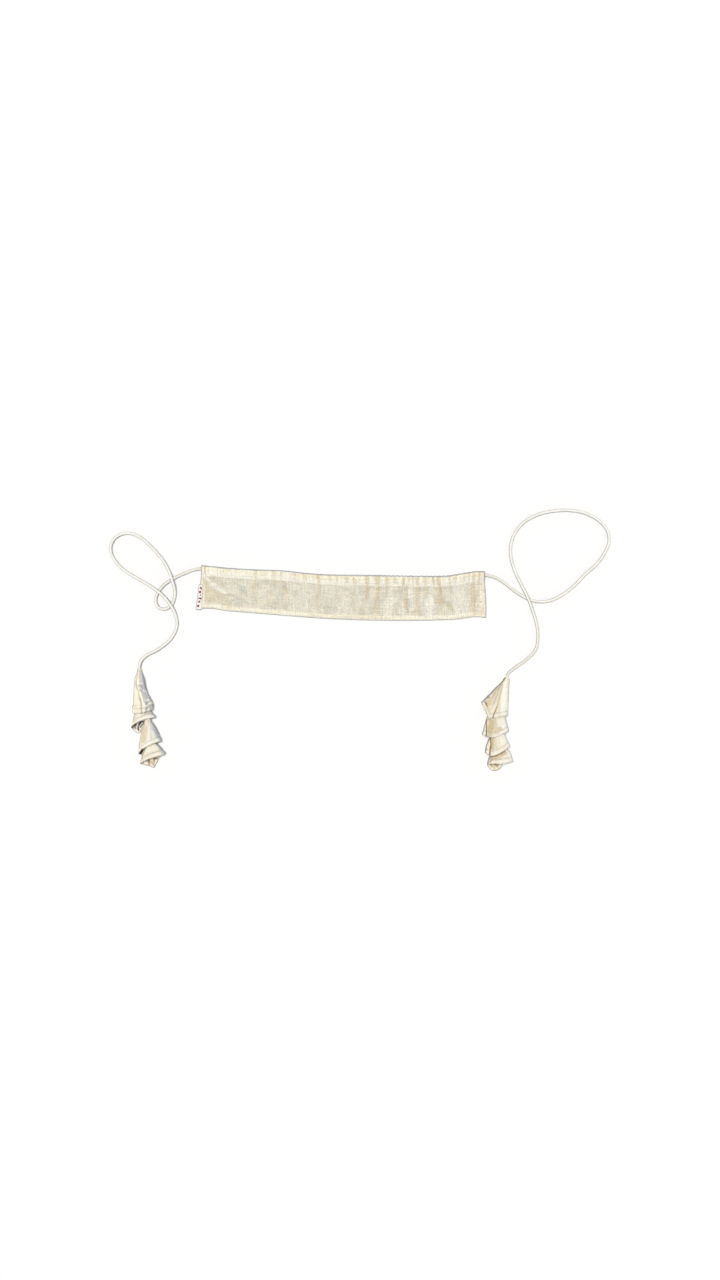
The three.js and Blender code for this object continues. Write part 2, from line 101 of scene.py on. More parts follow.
def evenly(line, step):
    # the same line with a point at every step
    reach = reachOf(line)
    places = np.linspace(0, reach[-1], int(round(reach[-1] / step)) + 1)
    return np.stack([np.interp(places, reach, line[:, i]) for i in range(line.shape[1])], axis=1), places


def throughRows(x, places, values):
    # a smooth value through a table's rows
    places, values = np.asarray(places, float), np.asarray(values, float)
    rows = np.arange(len(places))
    after, before = np.minimum(rows + 1, len(rows) - 1), np.maximum(rows - 1, 0)
    slopes = (values[after] - values[before]) / (places[after] - places[before])
    i = np.clip(np.searchsorted(places, x) - 1, 0, len(places) - 2)
    span = places[i + 1] - places[i]
    t = np.clip((x - places[i]) / span, 0, 1)
    eased = 3 * t ** 2 - 2 * t ** 3
    return ((1 - eased) * values[i] + (t ** 3 - 2 * t ** 2 + t) * span * slopes[i]
            + eased * values[i + 1] + (t ** 3 - t ** 2) * span * slopes[i + 1])


def ease(low, high, value):
    t = np.clip((value - low) / (high - low), 0, 1)
    return t * t * (3 - 2 * t)


def bell(value, width):
    return np.exp(-(value / width) ** 2)


def unit(vectors):
    return vectors / np.maximum(np.linalg.norm(vectors, axis=-1, keepdims=True), 1e-9)


def grid(*parts):
    # the parts of each point, from values by row, by column or both
    return np.stack(np.broadcast_arrays(*parts), axis=2)


def unevenness(points, size, seed):
    # soft noise between about -1 and 1 at each point
    shift = Vector((seed * 17.3, seed * 5.7, seed * 3.1))
    flat = np.asarray(points, float).reshape(-1, 3) / size
    return np.array([noise.noise(Vector(p) + shift) for p in flat]).reshape(np.shape(points)[:-1])


def besideRun(x, y, x1, y1, x2, y2):
    # share of a straight run beside each point, free and kept within 0 to 1, and the distance from it
    run = np.array([x2 - x1, y2 - y1], float)
    free = ((x - x1) * run[0] + (y - y1) * run[1]) / (run @ run)
    t = np.clip(free, 0, 1)
    return free, t, np.hypot(x - x1 - t * run[0], y - y1 - t * run[1])


brush = {"wander": 0.9, "wanderSize": 4.5, "full": 0.6, "gone": 1.5}  # the last two in half widths


def brushed(x, y, strokes, seed):
    # how strongly each kind of mark covers each point: painted shadow in folds, painted shade, paler cloth
    # with painted highlights, and print with painted shadow in hollows
    marks = {kind: 0 * x for kind in ("fold", "shade", "light", "ink")}
    spots = grid(x, y, 0)
    x = x + brush["wander"] * unevenness(spots, brush["wanderSize"], seed)
    y = y + brush["wander"] * unevenness(spots, brush["wanderSize"], seed + 1)
    for kind in marks:
        for strength, *points in strokes.get(kind, []):
            points = np.reshape(points, (-1, 3))
            for (x1, y1, width1), (x2, y2, width2) in zip(points, points[1:]):
                _, t, gap = besideRun(x, y, x1, y1, x2, y2)
                gap = gap * 2 / (width1 + (width2 - width1) * t)
                covered = strength * (1 - ease(brush["full"], brush["gone"], gap))
                marks[kind] = np.maximum(marks[kind], covered)
    return marks


# Cloth pieces, each one grid of cloth whose points are put in place row by row

def newCloth(name, places, cut):
    # places: rows x columns x 3 in millimetres; cut: where each point was on the flat cloth
    rows, columns = places.shape[:2]
    deselect()
    bpy.ops.mesh.primitive_grid_add(x_subdivisions=columns - 1, y_subdivisions=rows - 1, size=1)
    cloth = bpy.context.object
    cloth.name = cloth.data.name = name
    cloth.data.vertices.foreach_set("co", (places * mm).astype(np.float32).ravel())
    corners = np.empty(len(cloth.data.loops), np.int32)
    cloth.data.loops.foreach_get("vertex_index", corners)
    flat = (cut * mm).reshape(-1, 2)[corners].astype(np.float32)
    cloth.data.uv_layers[0].data.foreach_set("uv", flat.ravel())
    cloth.data.update()
    bpy.ops.object.shade_smooth()
    return cloth


def paint(cloth, name, values):
    layer = cloth.data.attributes.new(name, "FLOAT", "POINT")
    layer.data.foreach_set("value", np.asarray(values, np.float32).ravel())


def wayOut(places):
    # unit normals of a grid of points
    along, down = np.gradient(places, axis=1), np.gradient(places, axis=0)
    return unit(np.cross(down, along))


def keepPiece(piece, slot, *nodes):
    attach(piece, "root")
    if nodes:
        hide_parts(*nodes)


# Shader maths: a socket that + - * / and ** work on, and any other node through add

class Wire:
    def __init__(self, tree, socket):
        self.tree, self.socket = tree, socket

    def add(self, kind, settings, inputs, output=0):
        made = self.tree.nodes.new(kind)
        for name, value in settings.items():
            setattr(made, name, value)
        for name, value in inputs.items():
            if isinstance(value, Wire):
                self.tree.links.new(value.socket, made.inputs[name])
            else:
                made.inputs[name].default_value = value
        return Wire(self.tree, made.outputs[output])

    def math(self, operation, first, second=0.0):
        return self.add("ShaderNodeMath", {"operation": operation}, {0: first, 1: second})

    def __add__(self, other):
        return self.math("ADD", self, other)

    def __sub__(self, other):
        return self.math("SUBTRACT", self, other)

    def __rsub__(self, other):
        return self.math("SUBTRACT", other, self)

    def __mul__(self, other):
        return self.math("MULTIPLY", self, other)

    def __truediv__(self, other):
        return self.math("DIVIDE", self, other)

    def __pow__(self, other):
        return self.math("POWER", self, other)

    __radd__, __rmul__ = __add__, __mul__

    def mix(self, first, second):
        # colours blended with this value as the factor
        return self.add("ShaderNodeMix", {"data_type": "RGBA"}, {0: self, 6: first, 7: second}, 2)

    def ramp(self, low, high):
        return self.add("ShaderNodeMapRange", {"interpolation_type": "SMOOTHSTEP"},
                        {"Value": self, "From Min": low, "From Max": high})

    def part(self, index):
        # one coordinate of this place
        return self.add("ShaderNodeSeparateXYZ", {}, {0: self}, index)

    def clouds(self, scale, detail):
        # noise over this place
        return self.add("ShaderNodeTexNoise", {}, {"Vector": self, "Scale": scale, "Detail": detail})

    def brightened(self, change):
        return self.add("ShaderNodeHueSaturation", {}, {"Color": self, "Value": change + 1.0})


def rgb(red, green, blue):
    # the colour as seen on a screen, 0 to 255, for a socket
    parts = [c / 255 for c in (red, green, blue)]
    return (*(c / 12.92 if c <= 0.04045 else ((c + 0.055) / 1.055) ** 2.4 for c in parts), 1.0)


def shaderOf(material):
    return material.node_tree.nodes["Principled BSDF"]


def newMaterial(name, roughness, sheen=0.0):
    material = bpy.data.materials.new(name)
    material.use_nodes = True
    shader = shaderOf(material)
    shader.inputs["Roughness"].default_value = roughness
    shader.inputs["Specular IOR Level"].default_value = 0.25
    shader.inputs["Sheen Weight"].default_value = sheen
    shader.inputs["Sheen Roughness"].default_value = 0.6
    return material, Wire(material.node_tree, shader.outputs[0])


def finished(material, colour, height, depth, strength):
    tree, shader = material.node_tree, shaderOf(material)
    tree.links.new(colour.socket, shader.inputs["Base Color"])
    relief = {"Strength": strength, "Distance": depth * mm, "Height": height}
    tree.links.new(height.add("ShaderNodeBump", {}, relief).socket, shader.inputs["Normal"])
    return material


# Thread: one bead of thread, modelled once and copied along each sewn line
thread = {"length": 1.7, "width": 0.34, "step": 2.7, "proud": 0.34}


def addStitches(name, lines, slot):
    deselect()
    bpy.ops.mesh.primitive_uv_sphere_add(segments=6, ring_count=5, radius=0.5 * mm)
    bead = bpy.context.object
    bpy.ops.transform.resize(value=(thread["length"], thread["width"], thread["width"]))
    bpy.ops.object.transform_apply(location=False, rotation=False, scale=True)
    copies = []
    for line in lines:
        spots, _ = evenly(np.asarray(line, float), thread["step"])
        for here, ahead in zip(spots, spots[1:]):
            turn = (Vector(ahead) - Vector(here)).to_track_quat("X", "Z").to_matrix().to_4x4()
            copy = bpy.data.objects.new(name, bead.data.copy())
            copy.data.transform(Matrix.Translation(Vector((here + ahead) / 2) * mm) @ turn)
            bpy.context.scene.collection.objects.link(copy)
            copies.append(copy)
    deselect()
    for copy in copies:
        copy.select_set(True)
    bpy.context.view_layer.objects.active = copies[0]
    bpy.ops.object.join()
    stitches = bpy.context.object
    stitches.name = stitches.data.name = name
    bpy.ops.object.shade_smooth()
    stitches.data.materials.append(threadFinish)
    bpy.data.objects.remove(bead)
    keepPiece(stitches, slot)
    return stitches


# Finishes: slubs are given by their length and width on the cloth, clouds by scale and detail

def weaveOf(wire, pitch, bias=0.0):
    # height of a plain weave over the flat cloth, 0 in the gaps and 1 on the threads
    flat = wire.add("ShaderNodeUVMap", {"uv_map": "UVMap"}, {})
    turned = wire.add("ShaderNodeMapping", {}, {"Vector": flat, "Rotation": (0, 0, bias),
                                                "Scale": (1 / (pitch * mm),) * 3})
    axes = [turned.part(0), turned.part(1)]
    warp, weft = [axis.math("SINE", axis * (2 * math.pi)) * 0.5 + 0.5 for axis in axes]
    over = axes[0].math("SINE", axes[0] * math.pi) * axes[1].math("SINE", axes[1] * math.pi)
    return warp * weft * 0.6 + over * 0.2 + 0.2, flat


def slubsOf(flat, length, width):
    # thicker stretches of yarn, long one way
    scale = (1 / (length * mm), 1 / (width * mm), 1)
    return flat.add("ShaderNodeMapping", {}, {"Vector": flat, "Scale": scale}).clouds(1.0, 2.0)


# Looks: painted shade in the tan folds, the moss's share of dusky strokes, the blue-grey and darker crease
# colours, the grey edges and the cord's flanks; pale colours for paler cloth and painted highlights
muslinLook = {
    "pitch": 0.55, "across": (1.5, 16), "along": (24, 1.4), "nubs": (2.2, 2.2), "flecks": (2.6, 3.4),
    "cloudy": (62.0, 4.0), "patches": (95.0, 2.0), "field": rgb(231, 225, 207), "grey": rgb(213, 208, 193),
    "moss": rgb(198, 199, 183), "double": rgb(247, 242, 223), "butter": rgb(245, 235, 204),
    "fold": rgb(217, 201, 168), "light": rgb(250, 246, 233), "rose": rgb(233, 214, 196),
    "sage": rgb(212, 219, 197), "rim": rgb(160, 161, 164),
}
tasselLook = {
    "pitch": 0.5, "across": (1.2, 12), "along": (16, 1.1), "mottle": (3.4, 6.5), "cloudy": (85.0, 3.0),
    "cream": rgb(246, 239, 220), "warm": rgb(240, 228, 202), "slate": rgb(183, 187, 195),
    "deep": rgb(128, 131, 141), "fold": rgb(208, 190, 154), "stain": rgb(140, 116, 88),
    "light": rgb(254, 252, 240), "rim": rgb(142, 144, 152),
}
liningLook = {
    "pitch": 0.5, "cloudy": (180.0, 3.0), "light": rgb(250, 245, 228), "ink": rgb(30, 27, 28),
    "rim": tasselLook["rim"],
}
cordLook = {
    "pitch": 0.46, "bias": 0.78, "cloudy": (120.0, 3.0), "dragTurn": 0.6, "dragScale": (1400, 260, 1),
    "pale": rgb(255, 253, 247), "cream": rgb(252, 248, 236), "seam": rgb(222, 206, 172),
    "flank": rgb(104, 105, 108),
}
tapeLook = {
    "pitch": 0.36, "ribs": (0.4, 9), "pale": rgb(254, 253, 249), "edge": rgb(168, 169, 171),
    "red": rgb(160, 12, 24), "leftEdge": (0.1, 0.5), "rightEdge": (5.8, 6.7), "topEdge": (0.3, 1.1),
    "footEdge": (35.0, 36.0), "dabEdge": (0.6, 1.6),
}
threadLook = {"ply": (900.0, 1.0), "dark": rgb(236, 224, 194), "pale": rgb(250, 242, 220)}


def readMarks(wire, *names):
    return [wire.add("ShaderNodeAttribute", {"attribute_name": name}, {}, 2) for name in names]


def layered(colour, look, **masks):
    # the look's colours laid over this one, each by the mask given under its name
    for name, mask in masks.items():
        colour = mask.mix(colour, look[name])
    return colour


def muslinMaterial():
    look = muslinLook
    material, wire = newMaterial("muslin", 0.92, sheen=0.1)
    weave, flat = weaveOf(wire, look["pitch"])
    across, along = slubsOf(flat, *look["across"]), slubsOf(flat, *look["along"])
    nubs, flecks = slubsOf(flat, *look["nubs"]), slubsOf(flat, *look["flecks"])
    cloudy, patches = flat.clouds(*look["cloudy"]), flat.clouds(*look["patches"])
    layers, fold, shade, light, rim = readMarks(wire, "layers", "fold", "shade", "light", "rim")
    # painted shade from the dusky strokes, the tan folds and the grey edges, and paler cloth with painted
    # highlights, over the cloth's own tone
    single = layered((cloudy.ramp(0.42, 0.66) * 0.8).mix(look["field"], look["grey"]), look,
                     moss=patches.ramp(0.56, 0.74) * 0.4 + shade * 0.85,
                     rose=flecks.ramp(0.56, 0.72) * 0.65, sage=(1 - flecks).ramp(0.56, 0.72) * 0.65)
    doubled = (cloudy.ramp(0.4, 0.7) * 0.8).mix(look["double"], look["butter"])
    colour = layered(layers.mix(single, doubled), look, fold=fold * (0.1 + 0.8 * cloudy + across),
                     light=light * 0.8, rim=rim)
    yarn = (across - 0.5) * 0.5 + (along - 0.5) * 0.5 + (nubs - 0.5) * 0.7 + (weave - 0.5) * 0.14
    return finished(material, colour.brightened(yarn), weave + across * 0.6 + along * 0.6, 0.16, 0.55)


def tasselMaterial():
    look = tasselLook
    material, wire = newMaterial("tasselCotton", 0.9, sheen=0.1)
    weave, flat = weaveOf(wire, look["pitch"])
    across, along = slubsOf(flat, *look["across"]), slubsOf(flat, *look["along"])
    cloudy, mottle = flat.clouds(*look["cloudy"]), slubsOf(flat, *look["mottle"])
    fold, shade, light, rim = readMarks(wire, "fold", "shade", "light", "rim")
    # painted blue-grey shade, painted shadow in tan folds, painted highlights and darker painted edges;
    # past a strength of 1 a tan mark brings out stains and painted crease shadow, and a shade mark deeper
    # painted shade
    colour = layered(cloudy.ramp(0.35, 0.7).mix(look["cream"], look["warm"]), look,
                     fold=fold * (0.7 + 0.6 * cloudy), slate=shade * (0.25 + 1.5 * mottle),
                     light=light * 0.9, stain=(fold - 1.0) * 2.0, deep=(shade - 1.0) * 2.0, rim=rim)
    yarn = (across - 0.5) * 0.24 + (along - 0.5) * 0.24 + (weave - 0.5) * 0.12
    return finished(material, colour.brightened(yarn), weave + across * 0.6 + along * 0.6, 0.15, 0.55)


def liningMaterial(name, ground, dark, deep):
    # the cones' inside, with inked dabs where its cloth was block-printed; the inked and tan marks also
    # paint shadow in the mouths' hollows, pale strokes paint highlights and the edges get painted shade
    look = {**liningLook, "dark": dark, "deep": deep}
    material, wire = newMaterial(name, 0.9)
    weave, flat = weaveOf(wire, look["pitch"])
    fold, light, ink, rim = readMarks(wire, "fold", "light", "ink", "rim")
    cloudy = flat.clouds(*look["cloudy"])
    colour = layered(ground, look, dark=fold * (0.6 + 0.8 * cloudy), deep=(fold - 1.0) * 1.6,
                     light=light * 0.9, ink=ink * (0.6 + 0.7 * cloudy), rim=rim)
    return finished(material, colour, weave, 0.12, 0.5)


def cordMaterial():
    look = cordLook
    material, wire = newMaterial("cordCotton", 0.85, sheen=0.2)
    weave, flat = weaveOf(wire, look["pitch"], look["bias"])
    cloudy = flat.clouds(*look["cloudy"])
    drawn = wire.add("ShaderNodeMapping", {}, {"Vector": flat, "Rotation": (0, 0, look["dragTurn"]),
                                               "Scale": look["dragScale"]}).clouds(1.0, 2.0)
    seam, flank = readMarks(wire, "seam", "flank")
    # painted shade darkens the flanks
    colour = layered(cloudy.ramp(0.35, 0.7).mix(look["pale"], look["cream"]), look,
                     seam=seam * 0.85 + drawn.ramp(0.56, 0.7) * 0.2, flank=flank)
    return finished(material, colour.brightened((weave - 0.5) * 0.1), weave + drawn * 1.4, 0.2, 0.7)


labelDabs = [  # woven dabs of red: in from the right edge, down from the top, half width and half height
    (3.3, 5.2, 1.5, 1.5), (2.2, 6.9, 0.8, 0.8), (3.8, 11.1, 1.8, 1.5), (2.8, 15.3, 0.7, 1.1),
    (4.0, 20.0, 1.3, 1.0), (1.8, 20.3, 1.1, 1.3), (3.2, 24.1, 1.2, 0.9), (4.1, 25.4, 1.1, 0.9),
    (4.5, 30.8, 1.5, 1.5),
]


def labelMaterial():
    look = tapeLook
    material, wire = newMaterial("wovenTape", 0.8, sheen=0.1)
    weave, flat = weaveOf(wire, look["pitch"])
    ribs = slubsOf(flat, *look["ribs"])
    across, down = flat.part(0), flat.part(1)
    marks = 0.0
    for x, y, halfWidth, halfHeight in labelDabs:
        far = ((across - x * mm) / (halfWidth * mm)) ** 2.0 + ((down - y * mm) / (halfHeight * mm)) ** 2.0
        marks = (1 - far.ramp(*look["dabEdge"])) + marks
    marks = marks.math("MINIMUM", marks, 1.0)
    left, right, top, foot = [place.ramp(*[at * mm for at in look[edge]]) for place, edge in (
        (across, "leftEdge"), (across, "rightEdge"), (down, "topEdge"), (down, "footEdge"))]
    # painted shade: a grey outline along the tape's edges
    edges = 1 - left * (1 - right) * top * (1 - foot)
    yarn = (weave - 0.5) * 0.12 + (ribs - 0.5) * 0.12
    colour = layered(look["pale"], look, edge=edges * 0.9, red=marks).brightened(yarn)
    return finished(material, colour, weave * 1.6 + ribs + marks * 1.2, 0.16, 0.8)


def plainThread():
    material, wire = newMaterial("sewingThread", 0.75)
    ply = wire.add("ShaderNodeTexCoord", {}, {}, 3).clouds(*threadLook["ply"])
    colour = ply.ramp(0.3, 0.7).mix(threadLook["dark"], threadLook["pale"])
    return finished(material, colour, ply, 0.05, 0.4)


muslinFinish, tasselFinish, cordFinish = muslinMaterial(), tasselMaterial(), cordMaterial()
labelFinish, threadFinish = labelMaterial(), plainThread()
printLining = liningMaterial("printLining", rgb(248, 245, 236), rgb(150, 130, 108), rgb(70, 56, 34))
tanLining = liningMaterial("tanLining", rgb(234, 219, 188), rgb(176, 152, 116), rgb(92, 74, 52))
print("finishes made")


# The band: a strip of muslin, its ends and foot hemmed and its top turned over the cord
band = {
    "left": -203.0, "right": 198.4, "columns": 480, "endInset": 0.9, "fieldRows": 40, "sideBow": 2.6,
    "bowPower": 12, "sideHem": 6.4, "footHem": 6.4, "casing": 13.4, "onTable": 0.3, "layer": 0.55,
    "thickness": 0.42, "crumple": 0.5, "gatherStep": 7.5, "sectionStep": 0.95,
    "seamRise": 2.9, "seamReach": 11,  # the field comes down from the casing's seam over this distance
    "sewnColumn": 240, "behindCord": 20,  # the seam's row is sought in this column, below so many rows
    "hemSeam": 5.4, "hemSeamRows": 5, "seamEnds": 0.8,
}
bandEdges = [  # x, top, foot
    (-203, 39.2, -22.0), (-186, 37.7, -22.3), (-165, 35.6, -25.5), (-134, 33.7, -27.9),
    (-90, 32.0, -31.6), (-50, 27.9, -34.6), (-20, 26.0, -36.6), (36, 25.3, -38.6), (93, 24.2, -39.0),
    (142, 24.2, -38.2), (163, 27.0, -36.8), (185, 30.6, -33.8), (203, 30.4, -35.2),
]
pleats = [  # x, drift of its foot, share of the field that it crosses, rise, half width
    (-162, -3, 0.45, 1.0, 6.0), (-127, -2, 0.85, 1.4, 5.5), (-101, -4, 0.95, 1.5, 5.5),
    (-85, 3, 0.55, 1.2, 5.0), (-49, 0, 0.35, 1.0, 4.5), (-35, -5, 0.95, 1.5, 5.0),
    (-15, -2, 0.6, 1.1, 4.0), (12, 0, 0.9, 1.2, 4.0), (32, -6, 0.65, 1.9, 4.2), (47, -6, 0.6, 2.1, 4.2),
    (59, -2, 0.6, 1.7, 3.8), (72, 0, 0.3, 1.3, 4.0), (86, -1, 0.9, 2.0, 4.4), (104, 1, 1.0, 2.2, 4.4),
    (116, 0, 0.6, 1.7, 4.0), (134, 4, 0.8, 2.4, 4.8), (149, 2, 0.4, 1.6, 4.0), (163, 0, 0.25, 1.3, 4.0),
    (181, 0, 0.95, 1.7, 4.4),
]
creases = [  # a ridge between two points, x and y of each, its rise and half width
    (-198, 20, -166, 0, 1.4, 7), (-192, 0, -150, 1, 1.1, 8), (142, -11, 156, -22, 1.4, 6),
]
bandMarks = {  # strokes of painted shadow in tan folds, painted dusky shade, and paler cloth with painted highlights: strength, then x, y and width at each point
    "fold": [
        (0.75, -199, 19, 4, -195, 8, 6, -190, -1, 6), (0.55, -189, -4, 20, -177, -5, 14, -166, -5, 4),
        (0.6, -186, 1, 3, -176, -1, 3, -165, -4, 3), (0.5, -167, -7, 4, -164, -17, 9),
        (0.3, -196, -16, 4, -182, -11, 4, -168, -7, 4), (0.25, -188, 18, 14, -174, 14, 12),
        (0.6, -125, 34, 5, -125.5, 22, 4.5, -128, 9, 5, -130, -7, 4),
        (0.45, -129, -7, 2, -123, -11, 2, -116, -11.5, 2), (0.45, -107, -19, 2.4, -101, -20, 2.4),
        (0.35, -111.5, 28, 3, -111.5, 19, 3),
        (0.5, -100, 31, 5, -101, 17, 5, -105.5, -5, 5, -108, -16, 4), (0.45, -90, 28, 3, -90, 14, 4),
        (0.85, -87, 8, 5, -83, 2, 5), (0.4, -85, 0, 5, -85, -15, 6, -80, -25, 5),
        (0.35, -70, 27, 3, -67, 17, 4), (0.4, -57, 25, 5, -56, 17, 6),
        (0.5, -52, -13, 2.5, -49, -27, 2.5),
        (0.65, -38, 24, 5, -35.5, 13, 5, -36, 1, 4.5, -40, -7, 4, -40, -19, 5),
        (0.55, -40, -18, 3, -35, -26, 3), (0.35, -25, -19, 6, -26, -27, 7), (0.5, -21, 24, 5, -20, 17, 5),
        (0.45, -10.5, 26, 2.6, -11, 4, 2.6, -8.5, -17, 2.4), (0.65, 3.5, 20, 4, 3.5, 15, 4),
        (0.65, 12.5, 20, 4, 15, 14, 6), (0.4, 11, 6, 3.6, 11, -10, 3.6, 12, -27, 4),
        (0.35, 21, 19, 3, 21, 14, 3), (0.7, 32, 22, 6, 32.5, 10, 6, 32, -6, 4),
        (0.5, 25.5, -9, 5, 26.5, -11, 5), (0.3, 30, -10, 5, 26, -27, 6), (0.6, 43, 23, 3, 44, 14, 3),
        (0.8, 47.5, 22, 6, 48, 4, 7, 46, -7, 6), (0.6, 42.5, -7, 3.5, 42, -10, 4),
        (0.45, 42, -11, 8, 41, -19, 9), (0.45, 49, -16, 6, 43, -29, 7), (0.65, 60, 21, 5.5, 60, 11, 5.5),
        (0.65, 59.5, 10, 3, 59.5, -6, 2.6), (0.7, 58, -7, 2.6, 57, -9, 2.6),
        (0.3, 59.5, -10, 2, 59, -27, 2), (0.6, 71.5, 20, 4.5, 71.5, 15, 4.5),
        (0.4, 71.5, 2, 3, 71.5, -7, 3), (0.55, 71, -16, 3, 75, -27, 4), (0.85, 83.5, 20, 3.6, 84, 8, 3.6),
        (0.4, 87, 10, 5, 86.5, -5, 5), (0.9, 84.5, -8, 3, 87, -13, 6, 86, -18, 5, 90, -25, 3),
        (0.7, 96, -27, 4, 102, -23, 5, 105, -29, 5), (0.35, 91.5, 21, 4, 91.5, 10, 4),
        (0.6, 96.5, 23, 2.8, 97, 15, 2.8), (0.55, 103, 19, 6.5, 104, 9, 6),
        (0.75, 103.5, 9, 5, 103.5, -10, 4.5, 104, -26, 6), (0.45, 96, -27, 5, 108.5, -30, 5),
        (0.6, 114, 20, 5, 115, 9, 5, 115, -6, 3), (0.75, 125.5, 22, 3.4, 127, 7, 3),
        (0.85, 132.5, 23, 5, 134, 10, 5, 135, -3, 9, 132.5, -13, 7), (0.45, 127, -10, 7, 141, -3, 7),
        (0.35, 135, -13, 5, 135, -29, 6), (0.9, 138, -11, 3, 146, -17, 4, 151, -23, 4),
        (0.45, 140, 23, 2.6, 140, 15, 2.6), (0.6, 148, 23, 3, 150.5, 4, 3), (0.4, 158, 26, 3, 158, 14, 3),
        (0.5, 169.5, 27, 3.4, 168, 15, 3.4), (0.45, 176.5, 29, 3, 175, 15, 3),
        (0.65, 183, 25, 5, 182, 14, 5), (0.75, 182, 14, 5, 181, 1, 5, 181.5, -10, 6, 184, -29, 6),
        (0.5, 182, -27, 4, 194, -29, 4), (0.55, 188.5, 5, 4, 189.5, -4, 4, 193, -13, 3),
        (0.35, 172, 1.5, 2, 188, 1.5, 2), (0.3, 195, 28, 7, 195.4, 0, 7, 196, -32, 7),
        (0.25, -46, -32, 6, -10, -34, 6, 70, -35.5, 6), (0.4, 155, -15.5, 1.8, 162, -15.5, 1.8),
        (1.0, 190.8, 31, 2.2, 190.6, 14, 2.2), (0.9, -197.4, 38, 2, -197.4, 26, 2)],
    "shade": [
        (0.7, -163, -2, 4, -157, -4, 3), (0.6, -150, 9, 6, -144, 6, 8, -139, -4, 5),
        (0.5, -158, -10, 4, -150, -6, 4, -138, -14, 4), (0.55, -86, 7, 9, -100, -19, 9),
        (0.3, 56, 8, 7, 56, -2, 7), (0.7, 92, -11, 5, 93, -22, 5), (0.5, 74, -14, 5, 78, -20, 5),
        (0.4, 77, 10, 7, 79, 0, 7), (0.85, 140, -10, 6, 147, -17, 7, 153, -24, 5),
        (0.4, 142, 10, 9, 153, 2, 8)],
    "light": [
        (0.7, -195, 20, 4, -182, 8, 6, -169, 1, 4), (0.7, -54, -11, 1.8, -52.5, -20, 1.8),
        (0.45, 160, 8, 12, 163, -4, 16, 160, -20, 12), (0.4, 172, -12, 8, 173, -24, 6),
        (0.7, 121, -8, 10, 120, -28, 12), (0.5, 63, -10, 9, 62, -28, 12),
        (0.3, -60, -4, 14, -68, -14, 12), (0.8, 192.8, 2, 2.4, 192.8, -9, 2.4),
        (0.8, 193, -16, 2.6, 191.5, -27, 2.6), (0.6, 166, -19, 1.8, 169.5, -29, 1.8),
        (0.4, 108, 0, 4, 108, -22, 4), (0.45, 95, 14, 4, 94, -5, 7, 95, -24, 4),
        (0.35, 66, 8, 4, 65, -8, 4)],
}
gatherPlaces = [
    -203, -178, -151, -127, -113, -91, -63, -35, -20.6, -10.6, 2, 13.5, 32, 46.8, 60.3, 71.6, 84.4, 90,
    98.6, 104.2, 114, 125.5, 132.6, 137, 144, 151, 158.5, 166.6, 172.3, 178, 183.6, 190, 198.4,
]
gatherHeights = [(-203, 0.1), (-120, 0.25), (-40, 0.3), (0, 0.55), (60, 0.95), (170, 1.05), (198.4, 0.5)]
casingSection = [  # depth from the top edge, and height: from the raw edge behind over the cord to the seam
    (15.2, 0.3), (9, 0.3), (3.6, 0.3), (1.6, 0.42), (0.5, 1.3), (0.15, 2.9), (0.8, 4.7), (2.5, 5.9),
    (5.0, 6.2), (7.4, 5.8), (9.6, 5.0), (11.6, 4.05), (13.4, 3.2),
]
footTurns = [  # the foot's hem folded under: how far up each row lies, and its share of the edge's height
    (0.08, 0.85), (0.0, 0.5), (0.1, 0.15), (0.6, 0), (3.4, 0), (6.4, 0),
]
sideTurns = [  # a side hem folded under: how far in each row lies, and its share of the layer behind
    (6.4, 1), (4.4, 1), (2.4, 1), (0.9, 1), (0.35, 1), (0.1, 0.85), (0.0, 0.5), (0.1, 0.15), (0.35, 0),
]


def edgeOf(x, column):
    table = np.array(bandEdges)
    return throughRows(x, table[:, 0], table[:, column])


def gatherWave(x):
    # the drawn-up cloth stands in small waves between the photo's creases
    counts = np.maximum(1, np.round(np.diff(gatherPlaces) / band["gatherStep"]))
    phase = np.interp(x, gatherPlaces, np.concatenate([[0], np.cumsum(counts)]))
    return (0.5 - 0.5 * np.cos(2 * math.pi * phase)) * np.interp(x, *zip(*gatherHeights))


def bandLift(x, share):
    # how high pleats and waves raise the field, at a station and a share of the way down
    lift = gatherWave(x) * np.exp(-share / 0.2) * 0.8
    for at, _, reach, rise, width in pleats:
        away = (x - at) / width
        away = away + 0.3 * (1 - np.minimum(away ** 2, 1)) * np.sin(at)
        ridge = rise * 0.5 * (1 + np.cos(math.pi * np.clip(away, -1, 1)))
        lift = lift + ridge * ease(0, 0.35, reach - share)
    return lift


